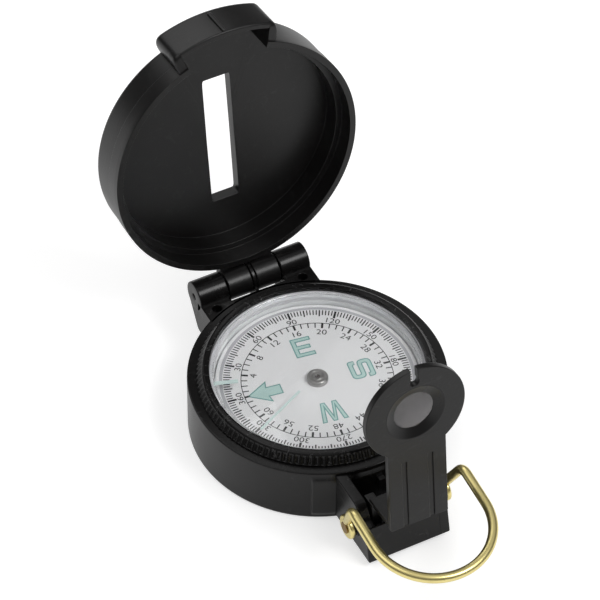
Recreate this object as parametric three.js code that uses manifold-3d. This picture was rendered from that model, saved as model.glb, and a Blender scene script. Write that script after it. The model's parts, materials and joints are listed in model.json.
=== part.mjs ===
// Folding sighting compass with a lens eyepiece, a turning bezel and a wire thumb ring.
// Millimetres, +Z up, origin on the case axis at the underside. The hinge lies towards +Y,
// the eyepiece towards -Y. The part is shown open: cover up, eyepiece up, ring swung forward.

import * as THREE from 'three';
import { mergeVertices } from 'three/addons/utils/BufferGeometryUtils.js';
import Module from 'manifold-3d';

const wasm = await Module();
wasm.setup();
const { Manifold, Mesh: ManifoldMesh } = wasm;

// Clearances and steps
const RUN_GAP = 0.3;            // between pieces that move past each other
const PIN_GAP = 0.08;           // round a pin that turns, on the radius
const SEAT_GAP = 0.03;          // round a pressed or glued seat, on the radius
const CUT_PAST = 1.0;           // how far a cutting shape runs past the face it cuts
const ROUND = 72;               // steps round a large circle
const SMALL_ROUND = 32;         // steps round a pin or a small boss

// Case: a drum with a flat floor and a lip at its mouth
const CASE_RADIUS = 27.5;
const CASE_HEIGHT = 13.9;
const CASE_WALL = 1.7;
const CASE_FLOOR = 2.0;
const CASE_EDGE = 0.5;          // chamfer of the lower edge
const RIM_EDGE = 0.25;          // chamfer of the rim
const LIP = 0.7;                // how far the lip stands in from the wall
const LIP_HEIGHT = 0.7;
const PAD_PROUD = 0.5;          // raised pad on the front of the wall
const PAD_ANGLE = 30;           // half angle of the pad, degrees
const PAD_LOW = 1.5;
const PAD_DROP = 1.5;           // top of the pad below the rim

// Hinge at the back of the case
const HINGE_SETBACK = 4.3;      // pin behind the case wall
const HINGE_RISE = 0.1;         // pin above the rim
const HINGE_WIDTH = 26.4;
const HINGE_PIN_RADIUS = 1.2;
const HINGE_PIN_INSET = 0.8;    // ends of the pin inside the outer knuckles
const BARREL_RADIUS = 3.4;
const COVER_KNUCKLE_END = 6.1;  // outer end of the cover's knuckles, from the middle
const CENTRE_RIB = 0.7;
const WING_FOOT = 5.2;          // level where the wing's underside meets the case
const WING_TOE = 2.8;           // how far that underside runs out before it slants up
const SLIT_FLAT = 0.44;         // depth of the flat on the case wall, in front of the cover's knuckles
const SLIT_SILL = 4.7;          // height of that flat
const WING_HOLE_RADIUS = 1.0;
const WING_HOLE_DEPTH = 2.5;
const WING_HOLE_X = 10.3;
const WING_HOLE_INSET = 5.2;    // in front of the hinge pin

// Block at the front, with a cheek each side of a recess
const BLOCK_WIDTH = 19.0;
const BLOCK_AHEAD = 6.5;        // foot of the front face ahead of the axle
const BLOCK_LOW = 1.5;
const CHEEK = 2.5;
const CHEEK_DROP = 0.6;         // top of the cheeks below the rim
const SHOULDER_DROP = 3.3;      // step down to the front wall
const SHOULDER_AHEAD = 0.5;     // where that step starts, ahead of the axle
const SHOULDER_RUN = 1.6;
const FRONT_LEAN = 2.1;         // how far the front face leans back up to its top
const FRONT_WALL = 2.6;         // at its foot
const RECESS_ROOM = 0.9;        // recess floor below the eyepiece's ears
const BOSS_RADIUS = 2.6;
const BOSS_PROUD = 0.8;

// Axle through the cheeks, shared by the eyepiece and the thumb ring
const AXLE_SETBACK = 7.3;       // ahead of the case wall
const AXLE_LEVEL = 7.6;
const AXLE_RADIUS = 0.9;
const AXLE_HEAD_RADIUS = 1.3;
const AXLE_HEAD = 0.4;
const AXLE_END_GAP = 0.15;      // between the eye of the ring and the head

// Bezel and its crystal
const BEZEL_WALL = 1.97;        // between the case lip and the crystal
const BEZEL_RIM = 0.9;          // rim above the crystal
const BEZEL_FLAT = 1.17;        // width of the rim's flat top
const BEZEL_EDGE = 0.4;
const BEZEL_BEAD = 0.6;         // height of the snap bead under the case lip
const BEZEL_SKIRT = 2.2;        // wall of the bead, inwards
const BEZEL_LEDGE = 0.4;        // thickness of the ledge under the crystal
const LEDGE_WIDTH = 0.8;
const KNURL_SETBACK = 1.9;      // foot of the knurl inside the case wall
const KNURL_DEPTH = 0.35;
const KNURL_TEETH = 120;
const DETENT = 0.5;             // thickness of the spring ring under the bezel
const DETENT_WIDTH = 1.4;
const GASKET = 0.4;
const CRYSTAL = 1.8;
const CRYSTAL_STEP = 0.8;       // width of the crystal's flange
const CRYSTAL_FLANGE = 0.8;     // thickness of the crystal's flange
const LINE_THICKNESS = 0.2;
const LONG_LINE_HUB_GAP = 4.05;  // inner end outside the hub
const LONG_LINE_EDGE_GAP = 2.4;  // outer end inside the bezel's ledge
const LONG_LINE_WIDTH = 0.5;
const LONG_LINE_ANGLE = 205.5;
const SHORT_LINE_LENGTH = 4.7;
const SHORT_LINE_EDGE_GAP = 0.4;
const SHORT_LINE_WIDTH = 0.9;
const SHORT_LINE_ANGLE = 160.5;

// Dial chamber: cup, pivot and dial
const CUP_WALL = 1.2;
const CUP_FLOOR = 1.2;
const FLANGE = 0.8;
const DIAL_EDGE_GAP = 0.6;
const DIAL_DEPTH = 2.1;         // face of the dial below the crystal
const DIAL_CARD = 0.5;
const MAGNET_LENGTH = 26.0;
const MAGNET_WIDTH = 5.0;
const MAGNET = 1.6;
const HUB_RADIUS = 2.25;
const HUB_HEIGHT = 1.2;
const HUB_EDGE = 0.3;
const HUB_CROWN = 0.3;          // crown above the jewel
const HUB_WINDOW = 0.45;        // hole in that crown
const HUB_STEM_RADIUS = 1.6;
const HUB_STEM = 0.8;           // how far the stem reaches into the magnet
const HUB_BORE = 0.8;
const JEWEL = 0.6;
const JEWEL_CUP = 0.3;
const POST_RADIUS = 0.9;
const POST_FOOT_RADIUS = 2.2;
const POST_FOOT = 0.8;
const NEEDLE_RADIUS = 0.32;
const NEEDLE_POINT = 0.9;
const NEEDLE_SEAT = 1.5;        // depth of the needle's hole in the post
const NEEDLE_GAP = 0.1;         // point of the needle under the jewel's cup

// Cover, drawn closed and then turned open about the hinge pin
const COVER_OPEN = 97.5;        // degrees from closed
const COVER_OVERHANG = 0.5;     // outside the case wall
const COVER_DEPTH = 11.4;
const COVER_PLATE = 2.7;
const COVER_WALL = 1.4;
const COVER_DRAFT = 0.35;       // how far the wall leans in towards the plate
const COVER_EDGE = 1.0;
const COVER_RIM_RISE = 1.2;     // rim higher at the hood than at the hinge
const COVER_LEDGE = 1.4;        // width of the ledge inside the wall
const COVER_LEDGE_RISE = 4.3;   // ledge above the cover's rim
const COVER_WEB = 1.1;          // underside of the knuckles' webs above the pin
const SIGHT_SLOT_WIDTH = 6.4;
const SIGHT_SLOT_LENGTH = 32.1;
const HOOD_CLEAR = 0.7;         // inside of the hood past the folded leg
const HOOD_WALL = 1.4;
const HOOD_ANGLE = 21.5;        // half angle of the hood, degrees
const HOOD_FLARE = 2.5;         // flare from the hood into the round wall, degrees
const HOOD_LIFT = 2.0;          // lower edge of the hood above the cover's rim
const RIDGE_WIDTH = 0.8;
const RIDGE = 0.4;

// Eyepiece, drawn upright about the axle and then leant back
const EYEPIECE_LEAN = 7;        // degrees
const LEG_PLATE = 1.5;
const LEG_SIDE_GAP = 0.4;       // between the leg and each cheek
const LEG_SLOT_X = 3.0;
const LEG_SLOT_WIDTH = 0.8;
const LEG_SLOT_TOP = 22.5;
const LEG_SLOT_DEPTH = 0.8;
const FOOT_CLEAR = 1.2;         // between the folded foot and the case wall
const FOOT_PLATE = 1.2;
const FOOT_BACK = 0.75;         // rear edge of the foot ahead of the axle
const EAR = 2.2;
const EAR_RADIUS = 2.4;
const EAR_NECK = 1.2;           // back of the ear where it meets the foot
const HEAD_RADIUS = 11.35;
const NOTCH_WIDTH = 1.5;
const NOTCH_HOLE_RADIUS = 1.0;
const NOTCH_RISE = 8.1;         // notch hole above the lens centre
const LENS_RADIUS = 5.4;
const LENS_WINDOW = 4.5;
const LENS_DEPTH = 0.75;        // front edge of the lens behind the leg's face
const LENS_EDGE = 0.3;
const LENS_BULGE = 0.35;
const RETAINER_BAND = 1.4;      // retainer outside the lens
const RETAINER_SEAT = 0.5;      // depth of the retainer's seat
const RETAINER_FLAT = 0.2;      // width of the retainer's flat rim, round its dish
const RETAINER_LIP = 0.15;      // thickness of the dish at the lens

// Dial lock plunger, pressed in by the folded eyepiece
const PLUNGER_WIDTH = 1.4;
const PLUNGER_HEIGHT = 3.0;
const PLUNGER_OUT = 1.5;        // how far it stands out of the case wall
const PLUNGER_REACH = 2.2;      // how far it reaches in past the dial's edge
const BRAKE_GAP = 0.35;         // brake pad below the dial
const BRAKE_PAD = 0.35;
const BRAKE_ROOT = 0.5;
const COLLAR = 0.6;
const COLLAR_GAP = 0.4;         // collar inside the case wall

// Thumb ring: round wire, with an eye flattened at each end
const RING_WIRE = 1.05;         // radius
const RING_SPREAD = 1.6;        // arms outside the eyes
const RING_RISE = 10.4;         // elbows above the axle
const RING_ELBOW = 4.4;         // elbows ahead of the axle
const RING_BEND = 3.0;
const RING_ARM = 13.9;          // end of the straight arms, ahead of the axle
const RING_SLOPE = 0.113;       // fall of the arms and the bow towards the front
const EYE_RADIUS = 2.7;
const EYE = 1.2;
const EYE_ROOT = 1.8;           // where the wire starts above the axle

// Finishes
const BLACK_PLASTIC = { color: 0x1c1c1d, roughness: 0.42, metalness: 0.0 };
const BRASS = { color: 0xc8a84e, roughness: 0.24, metalness: 1.0 };
const STEEL = { color: 0x9a9c9e, roughness: 0.3, metalness: 1.0 };
const WHITE_PLASTIC = { color: 0xd8d9da, roughness: 0.5, metalness: 0.0 };
const DIAL_WHITE = { color: 0xe4e5e6, roughness: 0.55, metalness: 0.0 };
const CLEAR = { color: 0xf4f8f8, roughness: 0.05, metalness: 0.0, transparent: true, opacity: 0.2 };
const LUMINOUS = { color: 0x8cc8be, roughness: 0.5, metalness: 0.0 };
const RUBBER = { color: 0x202020, roughness: 0.8, metalness: 0.0 };
const MAGNET_STEEL = { color: 0x5a5c60, roughness: 0.45, metalness: 1.0 };
const JEWEL_RED = { color: 0x8a2a3a, roughness: 0.1, metalness: 0.0 };

// Sizes that follow from the ones above, in plan
const caseBore = CASE_RADIUS - CASE_WALL;
const lipBore = caseBore - LIP;
const hingeY = CASE_RADIUS + HINGE_SETBACK;
const hingeHalf = HINGE_WIDTH / 2;
const bodyKnuckle = COVER_KNUCKLE_END + RUN_GAP;
const coverKnuckle = CENTRE_RIB / 2 + RUN_GAP;
const blockHalf = BLOCK_WIDTH / 2;
const recessHalf = blockHalf - CHEEK;
const axleAhead = CASE_RADIUS + AXLE_SETBACK;
const blockFront = axleAhead + BLOCK_AHEAD;
const bezelNeck = lipBore - RUN_GAP;
const bezelBore = bezelNeck - BEZEL_WALL;
const beadRadius = caseBore - RUN_GAP;
const skirtBore = beadRadius - BEZEL_SKIRT;
const crystalRadius = bezelBore - SEAT_GAP;
const ledgeBore = crystalRadius - LEDGE_WIDTH;
const cupRadius = skirtBore - RUN_GAP;
const cupBore = cupRadius - CUP_WALL;
const dialRadius = cupBore - DIAL_EDGE_GAP;
const legHalf = recessHalf - LEG_SIDE_GAP;
const eyeInner = blockHalf + BOSS_PROUD + RUN_GAP;
const eyeOuter = eyeInner + EYE;
const eyeMiddle = eyeInner + EYE / 2;

// Sizes that follow from the ones above, in height
const hingeZ = CASE_HEIGHT + HINGE_RISE;
const lipLow = CASE_HEIGHT - LIP_HEIGHT;
const cheekTop = CASE_HEIGHT - CHEEK_DROP;
const shoulderTop = cheekTop - SHOULDER_DROP;
const recessFloor = AXLE_LEVEL - EAR_RADIUS - RECESS_ROOM;
const beadTop = lipLow - RUN_GAP;
const beadLow = beadTop - BEZEL_BEAD;
const detentTop = beadLow - RUN_GAP;
const flangeTop = detentTop - DETENT;
const cupTop = beadTop - RUN_GAP;
const cupFloorTop = CASE_FLOOR + CUP_FLOOR;
const ledgeTop = beadTop + BEZEL_LEDGE;
const gasketTop = ledgeTop + GASKET;
const crystalTop = gasketTop + CRYSTAL;
const bezelTop = crystalTop + BEZEL_RIM;
const dialTop = gasketTop - DIAL_DEPTH;
const cardLow = dialTop - DIAL_CARD;
const jewelTop = dialTop + HUB_HEIGHT - HUB_CROWN;
const jewelLow = jewelTop - JEWEL;
const needleTip = jewelLow + JEWEL_CUP - NEEDLE_GAP;
const postTop = cardLow - MAGNET - RUN_GAP;
const plungerTop = cardLow - BRAKE_GAP - BRAKE_PAD;
const plungerLow = plungerTop - PLUNGER_HEIGHT;
const coverLow = CASE_HEIGHT + RUN_GAP;
const coverTop = coverLow + COVER_DEPTH;

// Sizes of the eyepiece, measured from its axle
const legBack = bezelTop + RUN_GAP - AXLE_LEVEL;
const legFront = legBack + LEG_PLATE;
const footTop = AXLE_SETBACK - FOOT_CLEAR;
const footLow = footTop - FOOT_PLATE;
const headRise = axleAhead;
const retainerRadius = LENS_RADIUS + RETAINER_BAND;
const pocketRadius = axleAhead - footLow + HOOD_CLEAR;
const hoodRadius = pocketRadius + HOOD_WALL;

// Shape helpers

function clean(geometry) {
  const bare = new THREE.BufferGeometry();
  bare.setAttribute('position', geometry.getAttribute('position').clone());
  if (geometry.index) bare.setIndex(geometry.index.clone());
  return mergeVertices(bare, 1e-4);
}

function toManifold(geometry) {
  const merged = clean(geometry);
  return new Manifold(new ManifoldMesh({
    numProp: 3,
    vertProperties: new Float32Array(merged.getAttribute('position').array),
    triVerts: new Uint32Array(merged.index.array),
  }));
}

function fromManifold(solid) {
  const mesh = solid.getMesh();
  const geometry = new THREE.BufferGeometry();
  geometry.setAttribute('position', new THREE.BufferAttribute(new Float32Array(mesh.vertProperties), 3));
  geometry.setIndex(new THREE.BufferAttribute(new Uint32Array(mesh.triVerts), 1));
  return geometry;
}

function combine(added, removed = []) {
  const body = Manifold.union(added.map(toManifold));
  if (!removed.length) return fromManifold(body);
  return fromManifold(body.subtract(Manifold.union(removed.map(toManifold))));
}

function revolve(profile, steps = ROUND) {
  // Turns a closed outline of [radius, height] points, listed counterclockwise, about Z.
  const points = [...profile, profile[0]].map(([r, z]) => new THREE.Vector2(r, z));
  return new THREE.LatheGeometry(points, steps).rotateX(Math.PI / 2);
}

function box([x0, x1], [y0, y1], [z0, z1]) {
  return new THREE.BoxGeometry(x1 - x0, y1 - y0, z1 - z0)
    .translate((x0 + x1) / 2, (y0 + y1) / 2, (z0 + z1) / 2);
}

function rod(radius, [x0, x1], y, z) {
  // A cylinder along X.
  return new THREE.CylinderGeometry(radius, radius, x1 - x0, SMALL_ROUND)
    .rotateZ(Math.PI / 2).translate((x0 + x1) / 2, y, z);
}

function disc(radius, x, y, [z0, z1], steps = SMALL_ROUND) {
  // A cylinder along Z.
  return new THREE.CylinderGeometry(radius, radius, z1 - z0, steps)
    .rotateX(Math.PI / 2).translate(x, y, (z0 + z1) / 2);
}

function sidePlate(outline, [x0, x1]) {
  // Pulls an outline of [y, z] points along X.
  const shape = new THREE.Shape(outline.map(([y, z]) => new THREE.Vector2(y, z)));
  const geometry = new THREE.ExtrudeGeometry(shape, { depth: x1 - x0, bevelEnabled: false });
  const toSide = new THREE.Matrix4().set(0, 0, 1, x0, 1, 0, 0, 0, 0, 1, 0, 0, 0, 0, 0, 1);
  return geometry.applyMatrix4(toSide);
}

function sector(inner, outer, halfAngle, [z0, z1], flare = 0) {
  // Part of a ring about the case axis, centred on -Y. A flare eases the outer corners inwards.
  const half = THREE.MathUtils.degToRad(halfAngle);
  const eased = THREE.MathUtils.degToRad(halfAngle + flare);
  const steps = 18;
  const at = (r, a) => new THREE.Vector2(r * Math.sin(a), -r * Math.cos(a));
  const arc = (r, a0, a1) => Array.from({ length: steps + 1 }, (_, i) => at(r, a0 + (a1 - a0) * (i / steps)));
  const shape = new THREE.Shape([...arc(outer, -half, half), ...arc(inner, eased, -eased)]);
  return new THREE.ExtrudeGeometry(shape, { depth: z1 - z0, bevelEnabled: false }).translate(0, 0, z0);
}

function around(half) {
  return [-half, half];
}

function span(side, near, far) {
  // The X range between two distances from the middle, on one side.
  return side < 0 ? [-far, -near] : [near, far];
}

function chordInside(radius, halfWidth) {
  // How far out a circle reaches at a given distance from its middle line.
  return Math.sqrt(radius ** 2 - halfWidth ** 2);
}

function piece(name, geometry, finish) {
  const flat = geometry.index ? geometry.toNonIndexed() : geometry;
  flat.deleteAttribute('normal');
  flat.computeVertexNormals();
  const mesh = new THREE.Mesh(flat, new THREE.MeshStandardMaterial(finish));
  mesh.name = name;
  return mesh;
}

// Case

function caseDrum() {
  return revolve([
    [0, 0], [CASE_RADIUS - CASE_EDGE, 0], [CASE_RADIUS, CASE_EDGE],
    [CASE_RADIUS, CASE_HEIGHT - RIM_EDGE], [CASE_RADIUS - RIM_EDGE, CASE_HEIGHT],
    [lipBore, CASE_HEIGHT], [lipBore, lipLow], [caseBore, lipLow],
    [caseBore, CASE_FLOOR], [0, CASE_FLOOR],
  ]);
}

function bodyKnuckleSide(ends) {
  // A barrel on a wedge whose underside runs out level and then slants up, tangent to the barrel.
  const root = chordInside(caseBore, hingeHalf) - CASE_WALL;
  const toe = CASE_RADIUS + WING_TOE;
  const run = hingeY - toe;
  const rise = hingeZ - WING_FOOT;
  const slant = Math.atan2(rise, run) - Math.asin(BARREL_RADIUS / Math.hypot(run, rise));
  const length = Math.sqrt(run ** 2 + rise ** 2 - BARREL_RADIUS ** 2);
  const wedge = sidePlate([
    [root, WING_FOOT], [toe, WING_FOOT],
    [toe + length * Math.cos(slant), WING_FOOT + length * Math.sin(slant)],
    [hingeY, hingeZ], [CASE_RADIUS, CASE_HEIGHT], [root, CASE_HEIGHT],
  ], ends);
  return combine([wedge, rod(BARREL_RADIUS, ends, hingeY, hingeZ)]);
}

function frontBlock() {
  const root = chordInside(caseBore, blockHalf) - CASE_WALL;
  const shoulder = axleAhead + SHOULDER_AHEAD;
  return sidePlate([
    [-blockFront, BLOCK_LOW], [-root, BLOCK_LOW], [-root, cheekTop], [-shoulder, cheekTop],
    [-shoulder - SHOULDER_RUN, shoulderTop], [-blockFront + FRONT_LEAN, shoulderTop],
  ], around(blockHalf));
}

function frontRecess() {
  const past = CASE_HEIGHT + CUT_PAST;
  return combine(
    [box(around(recessHalf), [-blockFront + FRONT_WALL, 0], [recessFloor, past])],
    [disc(CASE_RADIUS, 0, 0, [0, past + CUT_PAST], ROUND)],
  );
}

function plungerSlot() {
  const half = PLUNGER_WIDTH / 2 + RUN_GAP;
  const length = [-CASE_RADIUS - PAD_PROUD - CUT_PAST, -cupBore + CUT_PAST];
  return box(around(half), length, [plungerLow - RUN_GAP, plungerTop + RUN_GAP]);
}

function caseBody() {
  const sillRoot = chordInside(caseBore, bodyKnuckle) - CASE_WALL;
  const sillBack = CASE_RADIUS - SLIT_FLAT;
  const sillLow = CASE_HEIGHT - SLIT_SILL;
  const sill = box(around(bodyKnuckle), [sillRoot, sillBack], [sillLow, CASE_HEIGHT]);
  const flat = box(
    around(bodyKnuckle), [sillBack, CASE_RADIUS + CUT_PAST], [sillLow, CASE_HEIGHT + CUT_PAST]);
  const drum = combine([caseDrum()], [flat]);
  const knuckles = [
    bodyKnuckleSide(span(-1, bodyKnuckle, hingeHalf)),
    bodyKnuckleSide(span(1, bodyKnuckle, hingeHalf)),
    bodyKnuckleSide(around(CENTRE_RIB / 2)),
  ];
  const pad = sector(lipBore, CASE_RADIUS + PAD_PROUD, PAD_ANGLE, [PAD_LOW, CASE_HEIGHT - PAD_DROP]);
  const boss = rod(BOSS_RADIUS, around(blockHalf + BOSS_PROUD), -axleAhead, AXLE_LEVEL);
  const hollow = disc(caseBore, 0, 0, [CASE_FLOOR, CASE_HEIGHT + CUT_PAST], ROUND);
  const outside = combine([...knuckles, sill, pad, frontBlock(), boss], [hollow, frontRecess()]);
  const holes = [-1, 1].map((side) => disc(
    WING_HOLE_RADIUS, side * WING_HOLE_X, hingeY - WING_HOLE_INSET,
    [CASE_HEIGHT - WING_HOLE_DEPTH, CASE_HEIGHT + CUT_PAST]));
  const pinHole = rod(HINGE_PIN_RADIUS + SEAT_GAP, around(hingeHalf - HINGE_PIN_INSET), hingeY, hingeZ);
  const axleHole = rod(
    AXLE_RADIUS + SEAT_GAP, around(blockHalf + BOSS_PROUD + CUT_PAST), -axleAhead, AXLE_LEVEL);
  const body = combine([drum, outside], [...holes, pinHole, axleHole, plungerSlot()]);
  return piece('case_body', body, BLACK_PLASTIC);
}

// Dial chamber

function capsuleCup() {
  const flangeRadius = caseBore - RUN_GAP;
  const flangeLow = flangeTop - FLANGE;
  const cup = revolve([
    [0, CASE_FLOOR], [cupRadius, CASE_FLOOR], [cupRadius, flangeLow],
    [flangeRadius, flangeLow], [flangeRadius, flangeTop], [cupRadius, flangeTop],
    [cupRadius, cupTop], [cupBore, cupTop], [cupBore, cupFloorTop], [0, cupFloorTop],
  ]);
  return piece('capsule_cup', combine([cup], [plungerSlot()]), WHITE_PLASTIC);
}

function pivotPost() {
  const footTopLevel = cupFloorTop + POST_FOOT;
  const seat = NEEDLE_RADIUS + SEAT_GAP;
  const post = revolve([
    [0, cupFloorTop], [POST_FOOT_RADIUS, cupFloorTop], [POST_FOOT_RADIUS, footTopLevel],
    [POST_RADIUS, footTopLevel], [POST_RADIUS, postTop], [seat, postTop],
    [seat, postTop - NEEDLE_SEAT], [0, postTop - NEEDLE_SEAT],
  ], SMALL_ROUND);
  return piece('pivot_post', post, BRASS);
}

function pivotNeedle() {
  const needle = revolve([
    [0, postTop - NEEDLE_SEAT], [NEEDLE_RADIUS, postTop - NEEDLE_SEAT],
    [NEEDLE_RADIUS, needleTip - NEEDLE_POINT], [0, needleTip],
  ], SMALL_ROUND);
  return piece('pivot_needle', needle, STEEL);
}

function dialCard() {
  const bore = HUB_STEM_RADIUS + SEAT_GAP;
  const card = revolve([[bore, cardLow], [dialRadius, cardLow], [dialRadius, dialTop], [bore, dialTop]]);
  return piece('dial_card', card, DIAL_WHITE);
}

function dialMagnet() {
  const low = cardLow - MAGNET;
  const bar = box(around(MAGNET_LENGTH / 2), around(MAGNET_WIDTH / 2), [low, cardLow]);
  const eye = disc(HUB_STEM_RADIUS + SEAT_GAP, 0, 0, [low - CUT_PAST, cardLow + CUT_PAST]);
  return piece('dial_magnet', combine([bar], [eye]), MAGNET_STEEL);
}

function hubCap() {
  const crown = dialTop + HUB_HEIGHT;
  const low = cardLow - HUB_STEM;
  const hub = revolve([
    [HUB_BORE, low], [HUB_STEM_RADIUS, low], [HUB_STEM_RADIUS, dialTop], [HUB_RADIUS, dialTop],
    [HUB_RADIUS, crown - HUB_EDGE], [HUB_RADIUS - HUB_EDGE, crown],
    [HUB_WINDOW, crown], [HUB_WINDOW, jewelTop], [HUB_BORE, jewelTop],
  ], SMALL_ROUND);
  return piece('hub_cap', hub, STEEL);
}

function jewelBearing() {
  const radius = HUB_BORE - SEAT_GAP;
  const jewel = revolve([
    [0, jewelLow + JEWEL_CUP], [JEWEL_CUP, jewelLow], [radius, jewelLow], [radius, jewelTop], [0, jewelTop],
  ], SMALL_ROUND);
  return piece('jewel_bearing', jewel, JEWEL_RED);
}

// Bezel

function knurledRing(profile) {
  // Revolves the outline and draws in every other step of the points marked as knurled.
  const steps = KNURL_TEETH * 2;
  const count = profile.length;
  const positions = [];
  const index = [];
  for (let i = 0; i < steps; i += 1) {
    const angle = (i / steps) * Math.PI * 2;
    for (const [radius, level, knurled] of profile) {
      const r = knurled && i % 2 ? radius - KNURL_DEPTH : radius;
      positions.push(r * Math.cos(angle), r * Math.sin(angle), level);
    }
  }
  for (let i = 0; i < steps; i += 1) {
    const next = (i + 1) % steps;
    for (let j = 0; j < count; j += 1) {
      const after = (j + 1) % count;
      const a = i * count + j;
      const b = next * count + j;
      const c = next * count + after;
      const d = i * count + after;
      index.push(a, b, c, a, c, d);
    }
  }
  const geometry = new THREE.BufferGeometry();
  geometry.setAttribute('position', new THREE.Float32BufferAttribute(positions, 3));
  geometry.setIndex(index);
  return geometry;
}

function bezelRing() {
  const knurlLow = CASE_HEIGHT + RUN_GAP;
  const topRadius = bezelBore + BEZEL_FLAT;
  const ring = knurledRing([
    [ledgeBore, beadTop], [skirtBore, beadTop], [skirtBore, beadLow], [beadRadius, beadLow],
    [beadRadius, beadTop], [bezelNeck, beadTop], [bezelNeck, knurlLow],
    [CASE_RADIUS - KNURL_SETBACK, knurlLow, true],
    [topRadius + BEZEL_EDGE, bezelTop - BEZEL_EDGE, true],
    [topRadius, bezelTop], [bezelBore, bezelTop], [bezelBore, ledgeTop], [ledgeBore, ledgeTop],
  ]);
  return piece('bezel_ring', ring, BLACK_PLASTIC);
}

function detentRing() {
  const inner = beadRadius - DETENT_WIDTH;
  const ring = revolve([
    [inner, flangeTop], [beadRadius, flangeTop], [beadRadius, detentTop], [inner, detentTop],
  ]);
  return piece('detent_ring', ring, STEEL);
}

function crystalGasket() {
  const ring = revolve([
    [ledgeBore, ledgeTop], [crystalRadius, ledgeTop], [crystalRadius, gasketTop], [ledgeBore, gasketTop],
  ]);
  return piece('crystal_gasket', ring, RUBBER);
}

function crystal() {
  const step = crystalRadius - CRYSTAL_STEP;
  const flange = gasketTop + CRYSTAL_FLANGE;
  const window = revolve([
    [0, gasketTop], [crystalRadius, gasketTop], [crystalRadius, flange],
    [step, flange], [step, crystalTop], [0, crystalTop],
  ]);
  return piece('crystal', window, CLEAR);
}

function indexLine(name, ends, width, angle) {
  // A luminous strip on the underside of the crystal, drawn along X and turned to its bearing.
  const strip = box(ends, around(width / 2), [gasketTop - LINE_THICKNESS, gasketTop]);
  return piece(name, strip.rotateZ(THREE.MathUtils.degToRad(angle)), LUMINOUS);
}

function longLine() {
  const ends = [HUB_RADIUS + LONG_LINE_HUB_GAP, ledgeBore - LONG_LINE_EDGE_GAP];
  return indexLine('index_line_long', ends, LONG_LINE_WIDTH, LONG_LINE_ANGLE);
}

function shortLine() {
  const end = ledgeBore - SHORT_LINE_EDGE_GAP;
  return indexLine('index_line_short', [end - SHORT_LINE_LENGTH, end], SHORT_LINE_WIDTH, SHORT_LINE_ANGLE);
}

// Cover, in the closed place

function coverKnuckles(bore) {
  return [-1, 1].map((side) => {
    const ends = span(side, coverKnuckle, COVER_KNUCKLE_END);
    const web = box(ends, [bore + COVER_DRAFT, hingeY], [hingeZ + COVER_WEB, hingeZ + BARREL_RADIUS]);
    return combine([web, rod(BARREL_RADIUS, ends, hingeY, hingeZ)]);
  });
}

function cover() {
  const inner = coverTop - COVER_PLATE;
  const bore = CASE_RADIUS + COVER_OVERHANG - COVER_WALL;
  const plateBore = bore - COVER_LEDGE;
  const topRadius = CASE_RADIUS + COVER_OVERHANG - COVER_DRAFT;
  const rimRadius = bore + COVER_WALL;
  const ledgeLevel = coverLow + COVER_LEDGE_RISE;
  const shell = revolve([
    [0, inner], [plateBore, inner], [plateBore, ledgeLevel], [bore, ledgeLevel],
    [bore, coverLow], [rimRadius, coverLow], [topRadius, coverTop - COVER_EDGE],
    [topRadius - COVER_EDGE, coverTop], [0, coverTop],
  ]);
  const rimCut = sidePlate([
    [-rimRadius, coverLow - CUT_PAST], [rimRadius, coverLow - CUT_PAST],
    [rimRadius, coverLow], [-rimRadius, coverLow + COVER_RIM_RISE],
  ], around(rimRadius));
  const hoodLevels = [coverLow + HOOD_LIFT, coverTop];
  const hood = sector(plateBore, hoodRadius, HOOD_ANGLE, hoodLevels, HOOD_FLARE);
  const ridge = box(around(RIDGE_WIDTH / 2), [-hoodRadius - RIDGE, -pocketRadius], hoodLevels);
  const wallAngle = THREE.MathUtils.radToDeg(HOOD_WALL / hoodRadius);
  const pocket = sector(
    plateBore - COVER_LEDGE, pocketRadius, HOOD_ANGLE - wallAngle, [coverLow - CUT_PAST, inner]);
  const slot = box(
    around(SIGHT_SLOT_WIDTH / 2), around(SIGHT_SLOT_LENGTH / 2), [inner - CUT_PAST, coverTop + CUT_PAST]);
  const pinHole = rod(HINGE_PIN_RADIUS + PIN_GAP, around(hingeHalf), hingeY, hingeZ);
  const lid = combine([shell, hood, ridge, ...coverKnuckles(bore)], [rimCut, pocket, slot, pinHole]);
  return piece('cover', lid, BLACK_PLASTIC);
}

function coverGroup() {
  const hinge = new THREE.Group();
  hinge.position.set(0, hingeY, hingeZ);
  hinge.rotation.x = -THREE.MathUtils.degToRad(COVER_OPEN);
  const lid = cover();
  lid.position.set(0, -hingeY, -hingeZ);
  hinge.add(lid);
  return hinge;
}

function hingePin() {
  const pin = rod(HINGE_PIN_RADIUS, around(hingeHalf - HINGE_PIN_INSET), hingeY, hingeZ);
  return piece('hinge_pin', pin, STEEL);
}

// Eyepiece, about the axle: +Z along the leg, -Y to the front

function lensTurn(profile) {
  // Turns an outline of [radius, distance behind the leg's front face] about the lens axis.
  const points = [...profile, profile[0]].map(([r, d]) => new THREE.Vector2(r, d));
  return new THREE.LatheGeometry(points, SMALL_ROUND).translate(0, -legFront, headRise);
}

function headDisc(radius, [front, back], rise, steps = SMALL_ROUND) {
  // A cylinder along Y, between two distances behind the leg's front face.
  return new THREE.CylinderGeometry(radius, radius, back - front, steps)
    .translate(0, -legFront + (front + back) / 2, rise);
}

function eyepieceEar(side) {
  const ends = span(side, legHalf - EAR, legHalf);
  const footMiddle = (footLow + footTop) / 2;
  const web = sidePlate([
    [-EAR_RADIUS, 0], [EAR_RADIUS, 0], [EAR_NECK, footMiddle], [-EAR_RADIUS, footMiddle],
  ], ends);
  return combine([web, rod(EAR_RADIUS, ends, 0, 0)]);
}

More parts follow.
